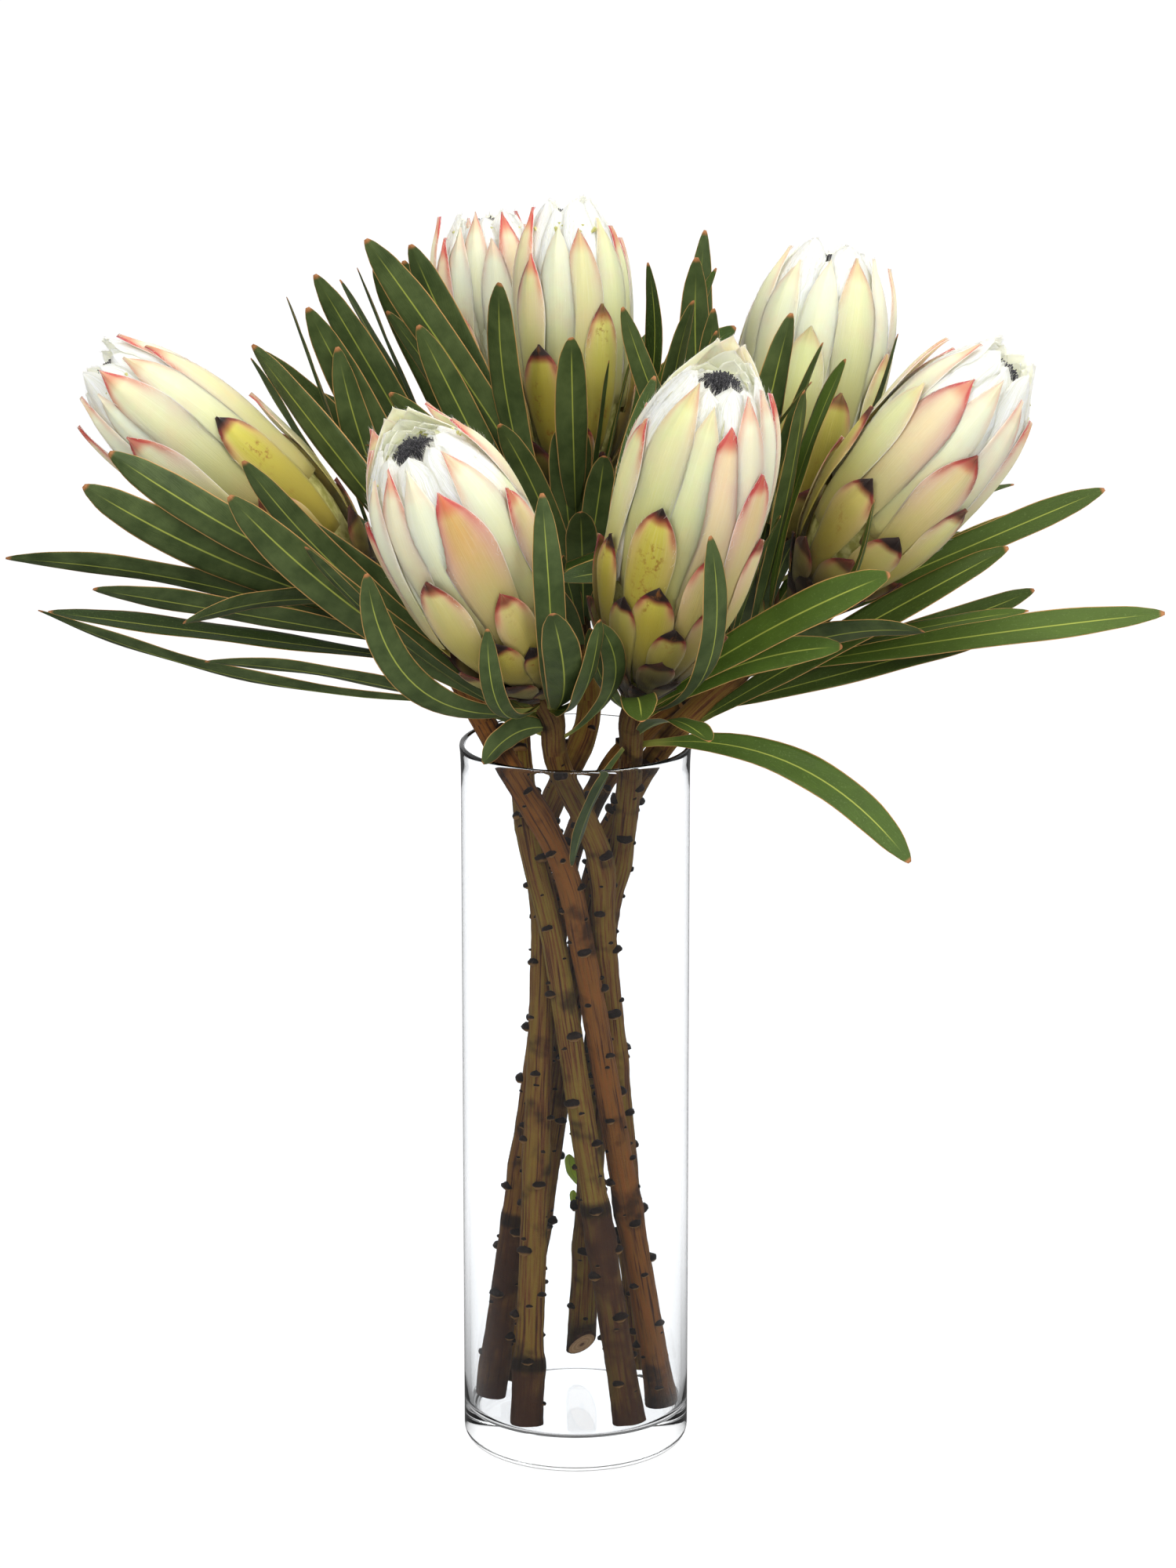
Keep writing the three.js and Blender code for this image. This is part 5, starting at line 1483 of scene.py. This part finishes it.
for name, flower in flowers.items():
    route = routes[name]
    split = 1 - flower["leafyLength"] / route.length
    slant = {"Cut": cutEnd["slant"] * mm if name == cutEnd["stem"] else 0.0}
    stem = grow(name + "Stem", barkLine(name, route, 0, split), trees["bark"], slant, bark)
    scars = scarPoints(name, route, stemSizes["firstScar"], split)
    scars = grow(name + "Scars", scars, trees["scars"], {}, bark)
    parts = [stem, scars]
    if name == cutEnd["stem"]:
        parts.append(makeCutEnd(name, stem, cutFinish))
    if name == bud["stem"]:
        parts.append(grow(name + "Bud", budPoints(name, route), trees["leaves"], {}, leafFinish))
    settle(joinPieces(parts, name + "Stem"), "stem_bark", "stem_" + name)

    shoot = grow(name + "Shoot", barkLine(name, route, split, 1), trees["bark"], slant, bark)
    settle(shoot, "stem_bark", "leaves_" + name)
    leaves = grow(name + "Foliage", leafPoints(name), trees["leaves"], {}, leafFinish)
    settle(leaves, "leaf", "leaves_" + name)

    neck, _, _, along, length = headFrame(flower)
    headSizes = {"Widest": flower["widest"] * mm, "Length": float(length * mm)}
    headSizes |= {"Neck " + letter: float(value) for letter, value in zip("XYZ", neck * mm)}
    headSizes |= {"Axis " + letter: float(value) for letter, value in zip("XYZ", along)}
    seed = {"Seed": flowerNames.index(name) + 1}
    head = grow(name + "Head", bractPoints(name), trees["bracts"], headSizes, bractFinish)
    silk = grow(name + "Silk", head.data.copy(), trees["silk"], seed, silkFinish)
    head = joinPieces([head, makeCore(name, coreFinish)], name + "Head")
    settle(head, "bract", "bloom_" + name)
    settle(silk, "bract", "bloom_" + name)

    tuft = grow(name + "Tuft", tuftPoints(name), trees["tuft"], seed, tuftFinish)
    settle(tuft, "floret_tuft", "florets_" + name)
    print(name, "made, faces:", {made.name: len(made.data.polygons) for made in (stem, leaves, head, silk)})

# ---- floor, light and camera

stageSizes = {
    "floor": 16.0, "floorGap": 0.0004, "cameraAt": (0.0051, -2.237, 0.880), "tilt": 14.96, "lens": 130.86,
}
# Each light: where it stands, how high up the vase it aims, its size and its power.
lights = {
    "key": ((-1.1, -1.6, 1.9), 0.35, 1.0, 26), "fill": ((1.5, -1.3, 1.5), 0.3, 1.0, 20),
    "front": ((0.2, -2.3, 1.1), 0.35, 0.8, 14), "top": ((0.7, 0.2, 2.0), 0.3, 1.0, 20),
}


def rays(tree, kind):
    return tree.add("ShaderNodeLightPath", out=kind)


# One where the camera sees a thing itself, or sees it through the glass, and nought for light on its way.
# Reflections see the white backdrop behind the vase, and a dim room on the camera's side.
def seenDirectly(tree, behind):
    direct = (rays(tree, "Is Camera Ray") + rays(tree, "Transmission Depth")).ramp(0.0, 0.5)
    direct = direct * (1 - rays(tree, "Diffuse Depth").ramp(0.0, 0.5))
    return direct * (1 - rays(tree, "Glossy Depth").ramp(0.0, 0.5) * (1 - behind))


# What the glass takes from the backdrop, the studio gives back.
def throughGlass(tree):
    return rays(tree, "Transmission Depth").ramp(0.0, 2.0)


def makeFloor():
    half = stageSizes["floor"] / 2
    mesh = bpy.data.meshes.new("floor")
    low = -stageSizes["floorGap"]
    corners = [(-half, -half, low), (half, -half, low), (half, half, low), (-half, half, low)]
    mesh.from_pydata(corners, [], [(0, 1, 2, 3)])
    material, tree, shader = newMaterial("paleFloor")
    bounced = rays(tree, "Diffuse Depth").ramp(0.0, 0.5)
    feed(tree, shader, Base_Color=tree.mix(bounced, (0.04, 0.04, 0.04, 1), (0.5, 0.5, 0.5, 1)), Roughness=0.9)
    seen = seenDirectly(tree, objectPlace(tree).part(1).ramp(-0.1, 0.3))
    white = tree.mix(throughGlass(tree), (0.97, 0.97, 0.97, 1), (1.2, 1.21, 1.23, 1))
    feed(tree, shader, Emission_Color=tree.mix(seen, (0.06, 0.06, 0.06, 1), white), Emission_Strength=1.0)
    mesh.materials.append(material)
    floor = addObject("floor", mesh)
    floor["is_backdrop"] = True


def makeLight(name, place, aim, size, power):
    light = bpy.data.lights.new(name, "AREA")
    light.size = size
    light.energy = power
    lamp = addObject(name, light)
    lamp.location = place
    lamp.rotation_euler = (Vector((0, 0, aim)) - Vector(place)).to_track_quat("-Z", "Y").to_euler()


# A white world with a soft box in front and above, which direct looks see as plain white.
def makeStudio():
    world = bpy.data.worlds.new("studio")
    world.use_nodes = True
    tree = Tree(world.node_tree)
    background = world.node_tree.nodes["Background"]
    background.inputs["Color"].default_value = (1, 1, 1, 1)
    heading = tree.add("ShaderNodeTexCoord", {}, {}, out=0)
    softBox = tree.dot(heading, (-0.1, -0.67, 0.735)).ramp(0.2, 1.0)
    backdrop = 1 - (1 - heading.part(1).ramp(-0.1, 0.3)) * (1 - heading.part(2).ramp(0.25, 0.7))
    seen = seenDirectly(tree, backdrop)
    lighting = 0.06 + 0.7 * softBox + 0.6 * heading.part(1).ramp(-0.1, 0.6)
    strength = lighting * (1 - seen) + (1.05 + 0.25 * throughGlass(tree)) * seen
    world.node_tree.links.new(strength.socket, background.inputs["Strength"])
    scene.world = world


def makeCamera():
    camera = addObject("camera", bpy.data.cameras.new("camera"))
    camera.data.lens = stageSizes["lens"]
    camera.data.sensor_width = 36
    camera.location = stageSizes["cameraAt"]
    camera.rotation_euler = (math.radians(90 - stageSizes["tilt"]), 0, 0)
    scene.camera = camera


makeFloor()
for name, light in lights.items():
    makeLight(name, *light)
makeStudio()
makeCamera()
scene.view_settings.view_transform = "Standard"
print("floor, lights and camera made")

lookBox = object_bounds()
for label, box in (("cad", cadBox), ("visual", lookBox)):
    print(label, "box", [[round(value, 4) for value in corner] for corner in box])
